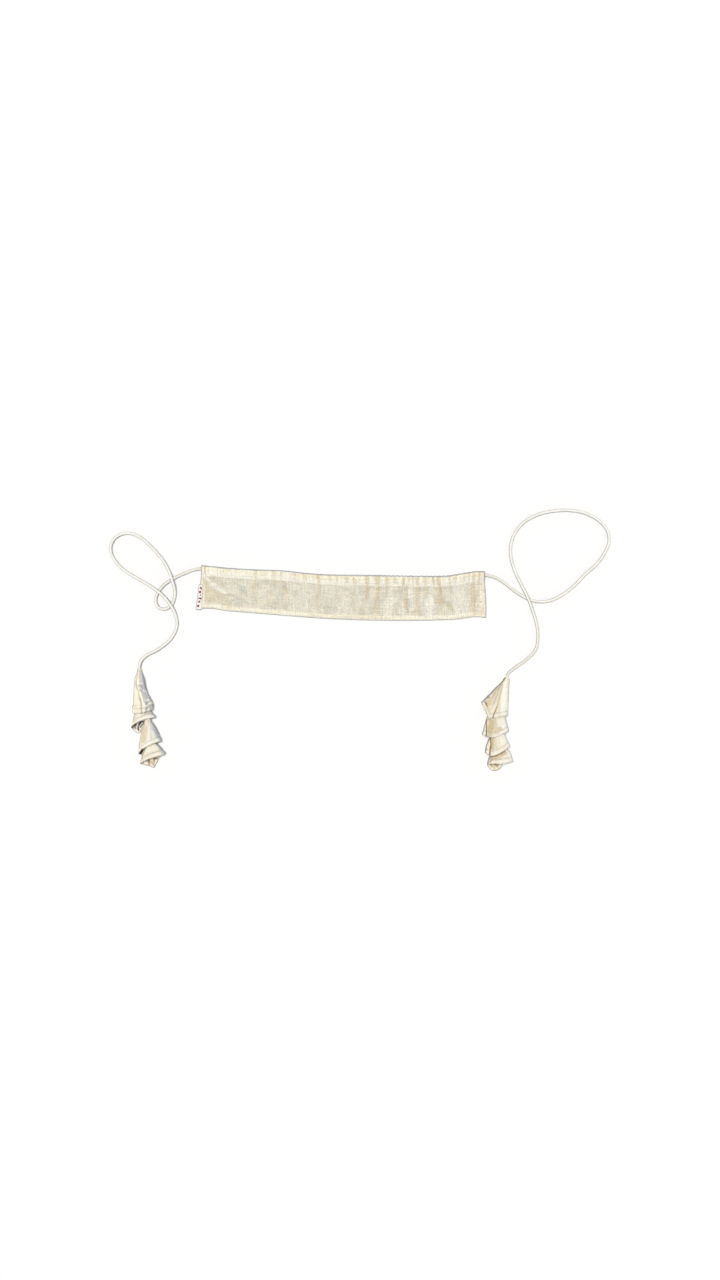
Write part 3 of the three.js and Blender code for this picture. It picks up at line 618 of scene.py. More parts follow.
def bandPlaces(stations):
    stations = np.asarray(stations)[None, :]
    driftAt = [band["left"], *[p[0] for p in pleats], band["right"]]
    drift = throughRows(stations, driftAt, [0, *[p[1] for p in pleats], 0])
    end = stations / np.where(stations < 0, -band["left"], band["right"])
    bow = np.sign(end) * np.abs(end) ** band["bowPower"] * band["sideBow"]
    fromEnd = np.minimum(stations - band["left"], band["right"] - stations)
    sideHem = 1 - ease(band["sideHem"] - 0.2, band["sideHem"] + 1.2, fromEnd)

    # the casing, out from its section wherever the cloth is gathered
    section, sectionCut = evenly(routePoints(casingSection, 8), band["sectionStep"])
    sectionX = stations + 0 * sectionCut[:, None]
    sectionDepth = section[:, :1] + 0 * sectionX
    tangent = unit(np.gradient(section, axis=0))
    front = ease(0.42, 0.64, np.linspace(0, 1, len(section)))
    pinch = 1 - 0.75 * ease(0.86, 1.0, np.linspace(0, 1, len(section)))
    wave = (gatherWave(stations) * (1 - 0.6 * sideHem)
            + 0.25 * unevenness(grid(sectionX, sectionDepth, 0), 7, 1))
    out = np.maximum(wave + band["layer"] * sideHem, -0.15) * (front * pinch)[:, None]
    depth = section[:, :1] + out * -tangent[:, 1:]
    height = section[:, 1:] + out * tangent[:, :1]
    casing = grid(sectionX, edgeOf(stations, 1) - depth, height)

    # the field, one layer, raised by its pleats, creases and the hems' layers
    shares = np.concatenate([[0.02], np.linspace(0.05, 1, band["fieldRows"])])[:, None]
    x = stations + drift * shares + bow * np.sin(2.2 * shares)
    topY, footY = edgeOf(x, 1) - band["casing"], edgeOf(x, 2)
    y = topY - shares * (topY - footY)
    footHem = 1 - ease(band["footHem"] - 0.2, band["footHem"] + 1.0, y - footY)
    spots = grid(x, y, 0)
    slack = 0.5 + 0.9 * (1 - ease(-190, -120, x)) + 0.5 * ease(60, 140, x)
    ridges = np.maximum(0.45 - np.abs(unevenness(spots, 19, 2)), 0) * 1.6
    crumple = ridges + 0.5 * unevenness(spots, 8, 3) + 0.3 * unevenness(spots, 4, 4) + 0.2
    rise = bandLift(stations + 0 * shares, shares) + band["crumple"] * slack * crumple
    for *ends, high, width in creases:
        _, _, gap = besideRun(x, y, *ends)
        rise = np.maximum(rise, high * (1 - ease(0, 1, gap / width)))
    rise = np.maximum(rise, 0) * (1 - 0.75 * sideHem) * (1 - 0.75 * footHem)
    seam = band["seamRise"] * (1 - np.minimum(shares * (topY - footY) / band["seamReach"], 1)) ** 2
    hems = band["layer"] * (sideHem + footHem + sideHem * footHem)
    cloth = grid(x, y, band["onTable"] + rise + seam + hems)

    # the foot's hem, folded under and back up
    edge = cloth[-1:, :, 2] - band["onTable"]
    foot = [grid(x[-1:], footY[-1:] + up - 0.2, band["onTable"] + edge * share) for up, share in footTurns]
    places = np.concatenate([casing, cloth, *foot])

    # marks for the finish
    inCasing, inField = slice(len(section)), slice(len(section), len(section) + len(shares))
    inFoot = (len(footTurns), x.shape[1])
    doubled = np.concatenate([np.ones_like(sectionX), np.maximum(sideHem, footHem), np.ones(inFoot)])
    marks = brushed(places[..., 0], places[..., 1], bandMarks, 11)
    marks["shade"] *= 1 - doubled
    marks["fold"][len(section):] *= 0.82
    # a painted highlight over the casing's lower slope, lifting the shade that falls there, and a painted
    # highlight line under the seam towards the right
    slope = ease(6.0, 9.0, section[:, :1]) * front[:, None]
    onSlope = slope * (1 - marks["fold"][inCasing])
    marks["light"][inCasing] = np.maximum(marks["light"][inCasing], onSlope)
    underSeam = 0.75 * ease(-110, 0, x) * (1 - ease(0.4, 3.0, topY - y))
    marks["light"][inField] = np.maximum(marks["light"][inField], underSeam)
    farAway = 9.0
    fromFoot = np.concatenate([0 * sectionX + farAway, y - footY, np.zeros(inFoot)])
    fromTop = np.concatenate([sectionDepth, 0 * x + farAway, np.full(inFoot, farAway)])
    # painted shade: a darker band along the top edge, the foot's edge and both ends
    rim = np.maximum(1 - ease(0.9, 2.7, fromTop), 0.8 * (1 - ease(0.4, 1.7, fromFoot)))
    rim = np.maximum(rim, 0.8 * (1 - ease(0.4, 1.6, fromEnd)))
    return places, {"layers": doubled, "rim": rim, **marks}, reachOf(places[:, places.shape[1] // 2])


def makeBand():
    side, behind = np.array(sideTurns).T
    inner = np.linspace(band["left"] + band["endInset"], band["right"] - band["endInset"], band["columns"])
    stations = np.concatenate([band["left"] + side, inner, band["right"] - side[::-1]])
    hidden = np.concatenate([behind, 0 * inner, behind[::-1]])
    turned = side * (behind > 0.5)
    cutAcross = np.concatenate([band["left"] - turned, inner, band["right"] + turned[::-1]])
    unique, back = np.unique(stations, return_inverse=True)
    places, marks, cutDown = bandPlaces(unique)
    normals = wayOut(places)
    laid = places[:, back] - normals[:, back] * band["layer"] * hidden[None, :, None]
    laid[..., 2] = np.maximum(laid[..., 2], band["thickness"] * 0.55)
    cloth = newCloth("bandCloth", laid, grid(cutAcross[None, :] - band["left"], cutDown[:, None]))
    for name in ("layers", "fold", "shade", "light", "rim"):
        paint(cloth, name, marks[name][:, back])
    cloth.data.materials.append(muslinFinish)
    applyModifier(cloth, "SOLIDIFY", thickness=band["thickness"] * mm, offset=0.0)
    keepPiece(cloth, "muslin", "band")
    return unique, places, normals


bandStations, bandGrid, bandNormals = makeBand()
print("band laid")


def onBand(rows, columns):
    return bandGrid[rows, columns] + bandNormals[rows, columns] * thread["proud"]


def bandSeams():
    # sewn lines follow rows and columns of the band's own grid
    front, column = band["behindCord"], band["sewnColumn"]
    seamY = edgeOf(bandGrid[0, column, 0], 1) - band["casing"]
    sewn = front + int(np.argmin(np.abs(bandGrid[front:, column, 1] - seamY)))
    edge = len(bandGrid) - len(footTurns) - 1
    ends = band["seamEnds"]
    between = (bandStations > band["left"] + ends) & (bandStations < band["right"] - ends)
    lines = [onBand(sewn, between), onBand(edge - band["hemSeamRows"], between)]
    for station in (band["left"] + band["hemSeam"], band["right"] - band["hemSeam"]):
        lines.append(onBand(slice(sewn + 1, edge), int(np.argmin(np.abs(bandStations - station)))))
    return lines


addStitches("bandStitches", bandSeams(), "muslin")


# The label, a woven tape folded at its left edge and sewn to the left hem by both ends
label = {
    "top": (12.4, -206.2, -200.4, 1.3), "bottom": (-24.2, -211.2, -202.4, 0.6),  # y, left, right, height
    "width": 7.2, "length": 36, "cutLength": 36.6, "step": 0.35, "rows": 49, "thickness": 0.3,
    "bevel": 0.05, "bend": 0.55, "seam": 1.65, "corner": 1.3, "stitchColumn": 3, "stitchLift": 0.06,
    "section": [  # share of the width and height, from the right end behind round to the front's right end
        (1.0, 0.28), (0.6, 0.28), (0.3, 0.28), (0.08, 0.3), (0.0, 0.05), (0.08, -0.2), (0.4, -0.18),
        (0.85, -0.16),
    ],
}


def makeLabel():
    section = routePoints([(label["width"] * x, z) for x, z in label["section"]], 6)
    section, across = evenly(section, label["step"])
    share, lift = section[:, 0] / label["width"], section[:, 1]
    down = np.linspace(0, 1, label["rows"])[:, None]
    y, left, right, low = [a + (b - a) * down for a, b in zip(label["top"], label["bottom"])]
    x = left + (right - left) * share
    cornered = np.maximum(0, 1 - (1 - down) * label["length"] / label["corner"]) * label["corner"]
    x = np.clip(x, left + cornered, right - cornered)
    height = low + 0.2 + (label["seam"] + 0.1 - low) * ease(0, label["bend"], share) + lift \
        + 0.25 * np.sin(down * 7 + share * 2) * (1 - share) \
        + 0.12 * np.sin(down * 23 + across[None, :] * 0.4)
    places, cut = grid(x, y, height), grid(across[None, :], down * label["cutLength"])
    # laid with its rows downwards and its front from left to right, so the printed side faces up
    tape = newCloth("labelTape", places[:, ::-1], cut[:, ::-1])
    editAll(tape)
    bpy.ops.mesh.flip_normals()
    bpy.ops.object.mode_set(mode="OBJECT")
    tape.data.materials.append(labelFinish)
    applyModifier(tape, "SOLIDIFY", thickness=label["thickness"] * mm, offset=0.0)
    applyModifier(tape, "BEVEL", width=label["bevel"] * mm, segments=1, limit_method="ANGLE",
                  angle_limit=1.0)
    keepPiece(tape, "label", "label")
    sewn = places[1:-1, label["stitchColumn"]] + [0, 0, label["thickness"] / 2 + label["stitchLift"]]
    addStitches("labelStitches", [sewn], "label")


makeLabel()
print("label sewn on")


# The cord: a bias strip of cotton rolled to a tube, in three runs that meet inside the casing
cord = {
    "radius": 2.1, "step": 1.0, "around": 20, "lying": 2.4, "over": 6.9, "mouthInset": 6.7, "inCasing": 3.4,
    "depth": 5.0, "toSun": (-0.79, 0.61, 0), "rumple": 0.16, "drag": 0.07, "dragTurn": 5.2, "pressed": 0.06,
    "seam": 0.2, "seamStart": 1.1, "seamDrift": 95, "weld": 0.02, "smoothUnder": 60,
}
leftRoute = [  # x, y and the share of a crossing's height
    (-197, 33.8, 0.22), (-205, 34.3, 0.27), (-215, 32.1, 0), (-237, 23.2, 0), (-247.7, 17.2, 0),
    (-255.5, 11.4, 0), (-262, 3.9, 0), (-266.9, -6.2, 0), (-267, -14.5, 0), (-262, -21.5, 0),
    (-252.5, -22.4, 0), (-244.7, -16.6, 0), (-241, -7.4, 0), (-240.4, 4, 0.2), (-243.8, 17.6, 1),
    (-249, 31.7, 0.15), (-259.6, 49.4, 0), (-290.3, 79.3, 0), (-307.7, 84.7, 0), (-321.7, 80.5, 0),
    (-330.2, 69.6, 0), (-330.6, 56.8, 0), (-323.8, 44, 0), (-311, 31.3, 0), (-291.8, 19.5, 0),
    (-275.1, 9.8, 0.3), (-263.2, 1.7, 1), (-254.5, -6.6, 0.6), (-246, -17.4, 1), (-239.2, -31.2, 0.2),
    (-237.3, -46.7, 0), (-245.8, -64.7, 0), (-263.1, -79.3, 0), (-281.1, -89.1, 0.04),
    (-288.2, -96.7, 0.2),
]
rightRoute = [
    (192.4, 25.7, 0.22), (200.8, 25.3, 0.27), (214, 21.3, 0), (227.3, 13.5, 0), (242, 1.8, 0),
    (255.4, -6.5, 0), (267.5, -11.2, 0), (279.8, -12.4, 0), (293.1, -10.3, 0), (309, -2.3, 0),
    (325.4, 10.4, 0), (340.9, 26.4, 0), (356.8, 40.7, 0), (368.8, 57.3, 0), (374.9, 74.3, 0),
    (371.3, 90.3, 0), (359.5, 103.1, 0), (341.6, 112.8, 0), (320.2, 116.9, 0), (296.2, 116.1, 0),
    (274.7, 111.2, 0), (255.8, 101.4, 0), (242.5, 86.5, 0), (235.9, 69.1, 0), (235.8, 50.1, 0),
    (241.9, 29.5, 0), (250.2, 12, 0.44), (259.9, -8.2, 1), (266.2, -25, 0.55), (272.1, -43.7, 0),
    (274.1, -64.7, 0), (270.2, -81.2, 0), (255.8, -96, 0), (240.5, -106.5, 0.1),
]


def makeCord(name, points, node):
    line, reach = evenly(routePoints(points, 16), cord["step"])
    tangent = unit(np.gradient(line, axis=0))
    side = unit(np.cross([0, 0, 1], tangent))
    upward = np.cross(tangent, side)
    turn = np.linspace(0, 2 * math.pi, cord["around"] + 1)[None, :]
    down = reach[:, None]
    fromSeam = np.angle(np.exp(1j * (turn - (cord["seamStart"] + down / cord["seamDrift"]))))
    direction = side[:, None] * np.cos(turn)[..., None] + upward[:, None] * np.sin(turn)[..., None]
    spots = line[:, None] + direction * cord["radius"]
    twisted = turn * 2 + down * (2 * math.pi / cord["dragTurn"]) + 2.5 * unevenness(spots, 14, 8)
    radius = cord["radius"] - cord["pressed"] + cord["rumple"] * unevenness(spots, 5, 5) \
        + 0.5 * cord["rumple"] * unevenness(spots, 2.2, 6) \
        + cord["drag"] * np.sin(twisted) * (0.5 + unevenness(spots, 20, 9)) \
        + cord["seam"] * bell(fromSeam, 0.3) - 0.12 * bell(fromSeam - 0.55, 0.2)
    radius[:, -1] = radius[:, 0]
    tube = newCloth(name, line[:, None] + direction * radius[..., None], grid(turn * cord["radius"], down))
    paint(tube, "seam", bell(fromSeam - 0.5, 0.24))
    # painted shade: the flanks' grey outline, wider and darker on the sun's side
    toSun = direction @ cord["toSun"]
    shift = 0.08 * toSun
    paint(tube, "flank", ease(-0.76 - shift, -0.4 - shift, -np.sin(turn)) * (0.83 + 0.17 * toSun))
    editAll(tube)
    bpy.ops.mesh.remove_doubles(threshold=cord["weld"] * mm)
    bpy.ops.mesh.fill_holes(sides=0)
    bpy.ops.mesh.select_all(action="SELECT")
    bpy.ops.mesh.normals_make_consistent(inside=False)
    bpy.ops.object.mode_set(mode="OBJECT")
    bpy.ops.object.shade_smooth_by_angle(angle=math.radians(cord["smoothUnder"]))
    tube.data.materials.append(cordFinish)
    keepPiece(tube, "cord", node)
    return tube, line * mm, reach[-1] * mm


def casingLine():
    x = np.linspace(band["left"] + cord["mouthInset"], band["right"] - cord["mouthInset"], 25)
    return np.stack([x, edgeOf(x, 1) - cord["depth"], 0 * x + cord["inCasing"]], axis=1)


def freeEnd(route, tassel):
    x, y = tassel["place"]
    outside = [(*at, cord["lying"] + (cord["over"] - cord["lying"]) * over) for *at, over in route]
    return outside + [(x + across, y - down, high) for across, down, high in tassel["core"]]


# Tassels: nested cones of lined cotton threaded on the cord. Places are measured from where the cord
# enters, across to the right and down. The columns of a tier's rows are
# neck: across, down, height, lean; core, the cord inside: across, down, height
# rings, neck to hem: left, right, downLeft, downRight, share of the hem's fall, base, height, flatness
# front and back, how the hem hangs there: depth, its deepest place, reach to left and right, roundness
# folds, from side to side -1 to 1: place, width, lift
# creases: rise, width, 1 where the cloth stands on the line's left or -1 on its right, the line's points
# each tier's strokes paint shadow in tan folds, blue-grey shade, paler cloth with highlights, and print
# with shadow in the mouths
cone = {
    "around": 190, "rowStep": 0.8, "thickness": 0.6, "layer": 0.75, "overlap": 0.5, "inset": 0.25,
    "neck": 3.55, "hem": 6.8, "hemLine": 0.6, "hemPad": 3.2, "hemPadWidth": 2.4, "hemRise": 0.4,
    "crumple": 0.5, "gathers": 9, "gatherRise": 0.3, "creaseEnd": 2.5, "rippleReach": 12, "stitchEvery": 3,
}
leftTiers = [{
    "neck": (0.1, 1.5, 3.9, -8), "slimNeck": 0.9, "seamTurn": 4.4, "front": (1.5, 0, 1, 1, 1),
    "back": (1, 0, 1, 1, 1),
    "rings": [
        (-4.8, 4.6, 9, 8, 0, 0, 8.6, 0.3), (-7.6, 8, 18, 18, 0, 0, 11, 0.7),
        (-8.6, 11.6, 34, 35, 0, 0, 14, 1), (-8.8, 19.6, 52, 50.5, 0.6, 0, 16.5, 1),
        (-10.2, 20.2, 56.5, 56, 0.8, 0, 18, 1), (-9.4, 18.6, 66, 61.5, 1, 0, 17.5, 1)],
    "folds": [(-0.35, 0.16, -1.4), (0.57, 0.2, -1.5), (0.75, 0.14, 0.9)],
    "creases": [
        (1.9, 3.2, 1, -2.7, 2, -5, 23.5, -1.4, 37, 1.6, 50, 2.4, 66),
        (1.0, 2.2, 1, 1, 26, 5, 44, 6.6, 66), (1.5, 2.2, 1, 7, 42, 13, 46, 19, 49),
        (1.5, 1.8, -1, 9, 53, 13, 50, 18, 47), (1.4, 2.0, -1, 9, 60, 13, 56, 17, 58),
        (1.4, 2.2, 1, 3, 32, 8, 35, 13, 40), (1.1, 2.6, 1, 2, 10, 5, 18, 7, 28),
        (1.0, 2.0, 1, -4, 25, 1, 27, 8, 24), (0.9, 2.0, -1, -10, 54.5, -5, 55.5, 1, 55),
        (1.1, 2.2, 1, 8, 62, 13, 60, 18, 62)],
    "fold": [
        (0.5, -2.7, 4, 1.2, -5, 14, 1.4, -5.2, 19, 1.6), (1.0, -5, 20, 1.4, -5, 27, 1.6, -3.8, 32, 1.2),
        (0.6, -3.4, 31, 1.2, -2, 37, 1.8, -1, 43, 1.8),
        (0.9, -0.6, 43, 1.6, 1.4, 49, 2.2, 2.5, 55, 2.4, 2.6, 65, 2.2),
        (0.8, -9.5, 54.5, 1.2, -4, 55.5, 1.4, 0, 55, 1)],
    "shade": [
        (0.6, 1, 6, 3, 2, 20, 5), (1.05, 3.8, 8, 3, 5.6, 20, 4.4, 7.8, 32, 4),
        (1.3, 6.6, 22, 2, 8.6, 31, 2), (0.9, -1.4, 26.5, 1.6, 3, 28, 5, 6, 30, 6),
        (0.75, 2, 33, 4, 7, 40, 6, 9, 50, 5), (0.9, 6, 38.5, 2.6, 12, 42, 5, 15, 46, 4),
        (1.3, 10, 34.5, 1.4, 14.6, 41, 1.6, 17.5, 46, 2, 19.4, 51, 1.6),
        (0.7, 10, 51, 3, 15, 58, 7, 17, 54, 4), (1.35, 17, 47, 1.2, 13, 50, 1, 9, 53, 1.8),
        (1.5, 17.6, 54, 1.8, 18.6, 56, 1.8), (1.25, 9.5, 61, 1.8, 11, 57, 1.2),
        (1.2, 13, 57, 1, 16, 60, 1.2), (0.7, 10, 62, 5, 17, 65, 6), (1.15, 6, 65.6, 1.2, 10, 63, 1.2),
        (1.2, 5, 30, 1, 9.6, 38, 1.2)],
    "light": [
        (0.3, -6.2, 20, 2, -6, 50, 2.4, -5.6, 64, 3), (0.9, -2.4, 19, 3, -2, 24, 2.6),
        (0.55, -3.5, 34, 1.6, -3, 44, 3, -1.5, 60, 4),
        (1.0, 1, 37, 1.6, 3.4, 46, 2, 5.2, 54, 2.6, 5.6, 65, 3),
        (0.7, 4.6, 32.6, 1.2, 8, 34.6, 1.6, 12, 38.4, 1.4), (0.6, 8, 47, 2, 13, 46.8, 1.8),
        (0.7, 11.6, 54.4, 1.2, 15, 50.6, 1.4), (0.5, 13, 58, 2, 14, 63, 2.4)],
}, {
    "neck": (3.4, 34, 5.9, 8), "seamTurn": 4.9, "lining": printLining,
    "front": (-4.2, -0.35, 0.65, 1.35, 0.8), "back": (11.5, -0.5, 0.5, 0.75, 1),
    "rings": [
        (-1.8, 8.8, 43, 42, 0, 1.8, 9, 0.4), (-5.6, 13, 55, 53, 0, 1.7, 11, 1),
        (-7.6, 15.8, 66, 61, 0, 1.7, 12, 1), (-9.8, 20.8, 76, 67, 0.35, 0.2, 15, 1),
        (-11.8, 24, 86.6, 71.6, 1, 0, 17, 1)],
    "folds": [(-0.57, 0.2, 0.8), (0.35, 0.2, -0.8)],
    "creases": [(1.1, 2.4, 1, 13, 58, 17, 64, 22, 69), (0.7, 2.6, -1, 8, 60, 9, 68, 8, 75)],
    "fold": [
        (0.5, -7.5, 62, 3, -7.4, 72, 3, -7.4, 78, 3.4), (1.1, -4.5, 65.6, 1.2, 2.5, 66, 1.6),
        (0.9, -9.6, 86.5, 3, -6, 86, 6, -5.4, 83, 3), (1.3, -8, 83, 2, -5.8, 82.4, 2.4, -5.4, 85, 1.4)],
    "shade": [(0.7, 18, 64, 5, 22, 72, 6), (0.5, 8, 66, 4, 16, 67, 5), (1.2, 16, 62, 1.6, 22, 68, 1.6)],
    "light": [
        (0.7, -6, 79, 2.4, 4, 75, 2.4, 20, 70, 2), (0.6, -2, 68, 3, 8, 71, 4),
        (1.0, -3.2, 80, 1.4, -4, 85, 2, -4, 90, 2), (1.0, 3.2, 79.4, 0.9, 1, 83.6, 1, -0.2, 88, 1.2),
        (1.0, 4.6, 83.4, 1, 2.4, 87.4, 1.2)],
    "ink": [
        (1.0, 2, 78.4, 2.4, -0.4, 81, 2.8, -1.7, 85, 2, -1.9, 89.4, 1.8),
        (1.0, 4.2, 77.8, 2.2, 5.6, 80, 2.6, 6, 82.6, 2),
        (1.0, 3.4, 82, 1.8, 2.1, 84.4, 1.8, 1, 86.4, 1.6), (0.6, 7, 82, 1.4, 4.6, 87, 1.6, 1, 91, 1.6)],
}, {
    "neck": (11.4, 70, 6, 10), "seamTurn": 4.3, "front": (-3.2, -0.3, 0.7, 1.3, 0.8),
    "back": (5, -0.71, 0.29, 0.5, 0),
    "rings": [
        (6.2, 17.2, 79, 76, 0, 1.8, 11, 0.4), (2.6, 21.4, 88, 82, 0, 1.6, 12.8, 1),
        (0.6, 26.2, 99, 91, 0, 0.5, 13.5, 1), (-0.8, 30, 112, 99, 0.4, 0, 15.5, 1),
        (-1.8, 32.2, 123.5, 104.8, 1, 0, 17, 1)],
    "folds": [(-0.57, 0.2, -0.9), (0.12, 0.25, 0.9)],
    "creases": [
        (0.9, 3.0, -1, 9, 80, 8, 96, 6, 112), (0.9, 3.0, 1, 20, 80, 24, 90, 29, 100),
        (0.6, 3.0, -1, 15, 84, 16, 96, 17, 108)],
    "fold": [
        (0.65, 6, 78, 3, 4.6, 92, 5, 4, 106, 5), (0.35, 9, 86, 5, 8, 104, 5),
        (1.65, 3.4, 117, 3, 2.4, 120, 4, 1.4, 123, 3.4), (1.0, 1, 121, 3, 2, 125, 3)],
    "shade": [(0.95, 18, 74, 5, 22.4, 88, 8, 29, 101, 8), (0.35, 14, 80, 5, 18, 100, 8)],
    "light": [
        (0.6, 13, 80, 3, 13, 94, 4, 13, 106, 5), (0.5, 18, 92, 4, 20, 104, 4),
        (0.7, 1, 119, 2.6, 12, 110, 3, 27, 105, 2.4)],
    "ink": [(0.9, 3.6, 117.4, 1.6, 2.2, 120, 2.2, 1.4, 122.6, 2)],
}, {
    "neck": (16.4, 101, 6, 8), "seamTurn": 4.6, "ripple": 2.6, "front": (-2.0, -0.4, 0.6, 1.4, 1),
    "back": (13, 0, 1, 0.6, 0),
    "rings": [
        (10.4, 23, 110, 107, 0, 1.8, 11.6, 0.4), (5.4, 28.8, 121, 112, 0, 1.6, 13.2, 1),
        (2.8, 33.6, 130, 117.5, 0.3, 0.3, 14, 1), (0.6, 37.6, 137.4, 123.4, 1, 0, 16, 1)],
    "folds": [(0.35, 0.2, -1)],
    "creases": [(1.0, 3.0, 1, 28, 108, 32, 114, 36, 121)],
    "fold": [
        (0.3, 4, 126, 3, 5, 134, 3), (0.4, 6, 126, 1.4, 20, 122, 1.2, 30, 120, 1.2),
        (1.15, 13, 132, 3, 13.6, 139, 2.6), (1.0, 16, 134, 1, 20, 139, 1.2),
        (1.5, 21, 131, 2.4, 25, 129.4, 2), (1.2, 20.6, 131, 1.4, 20.8, 139, 1.2)],
    "shade": [(0.9, 26, 107, 5, 30.6, 114, 8, 34, 121, 7), (1.3, 29, 109, 1.6, 33.4, 117, 2.2)],
    "light": [
        (0.5, 12, 118, 6, 24, 114, 6), (1.0, 5, 136, 5, 10, 137.5, 4),
        (0.8, 24, 132, 1.4, 22.6, 138, 1.8), (0.7, 14, 141, 1.6, 19, 141.6, 2)],
}]
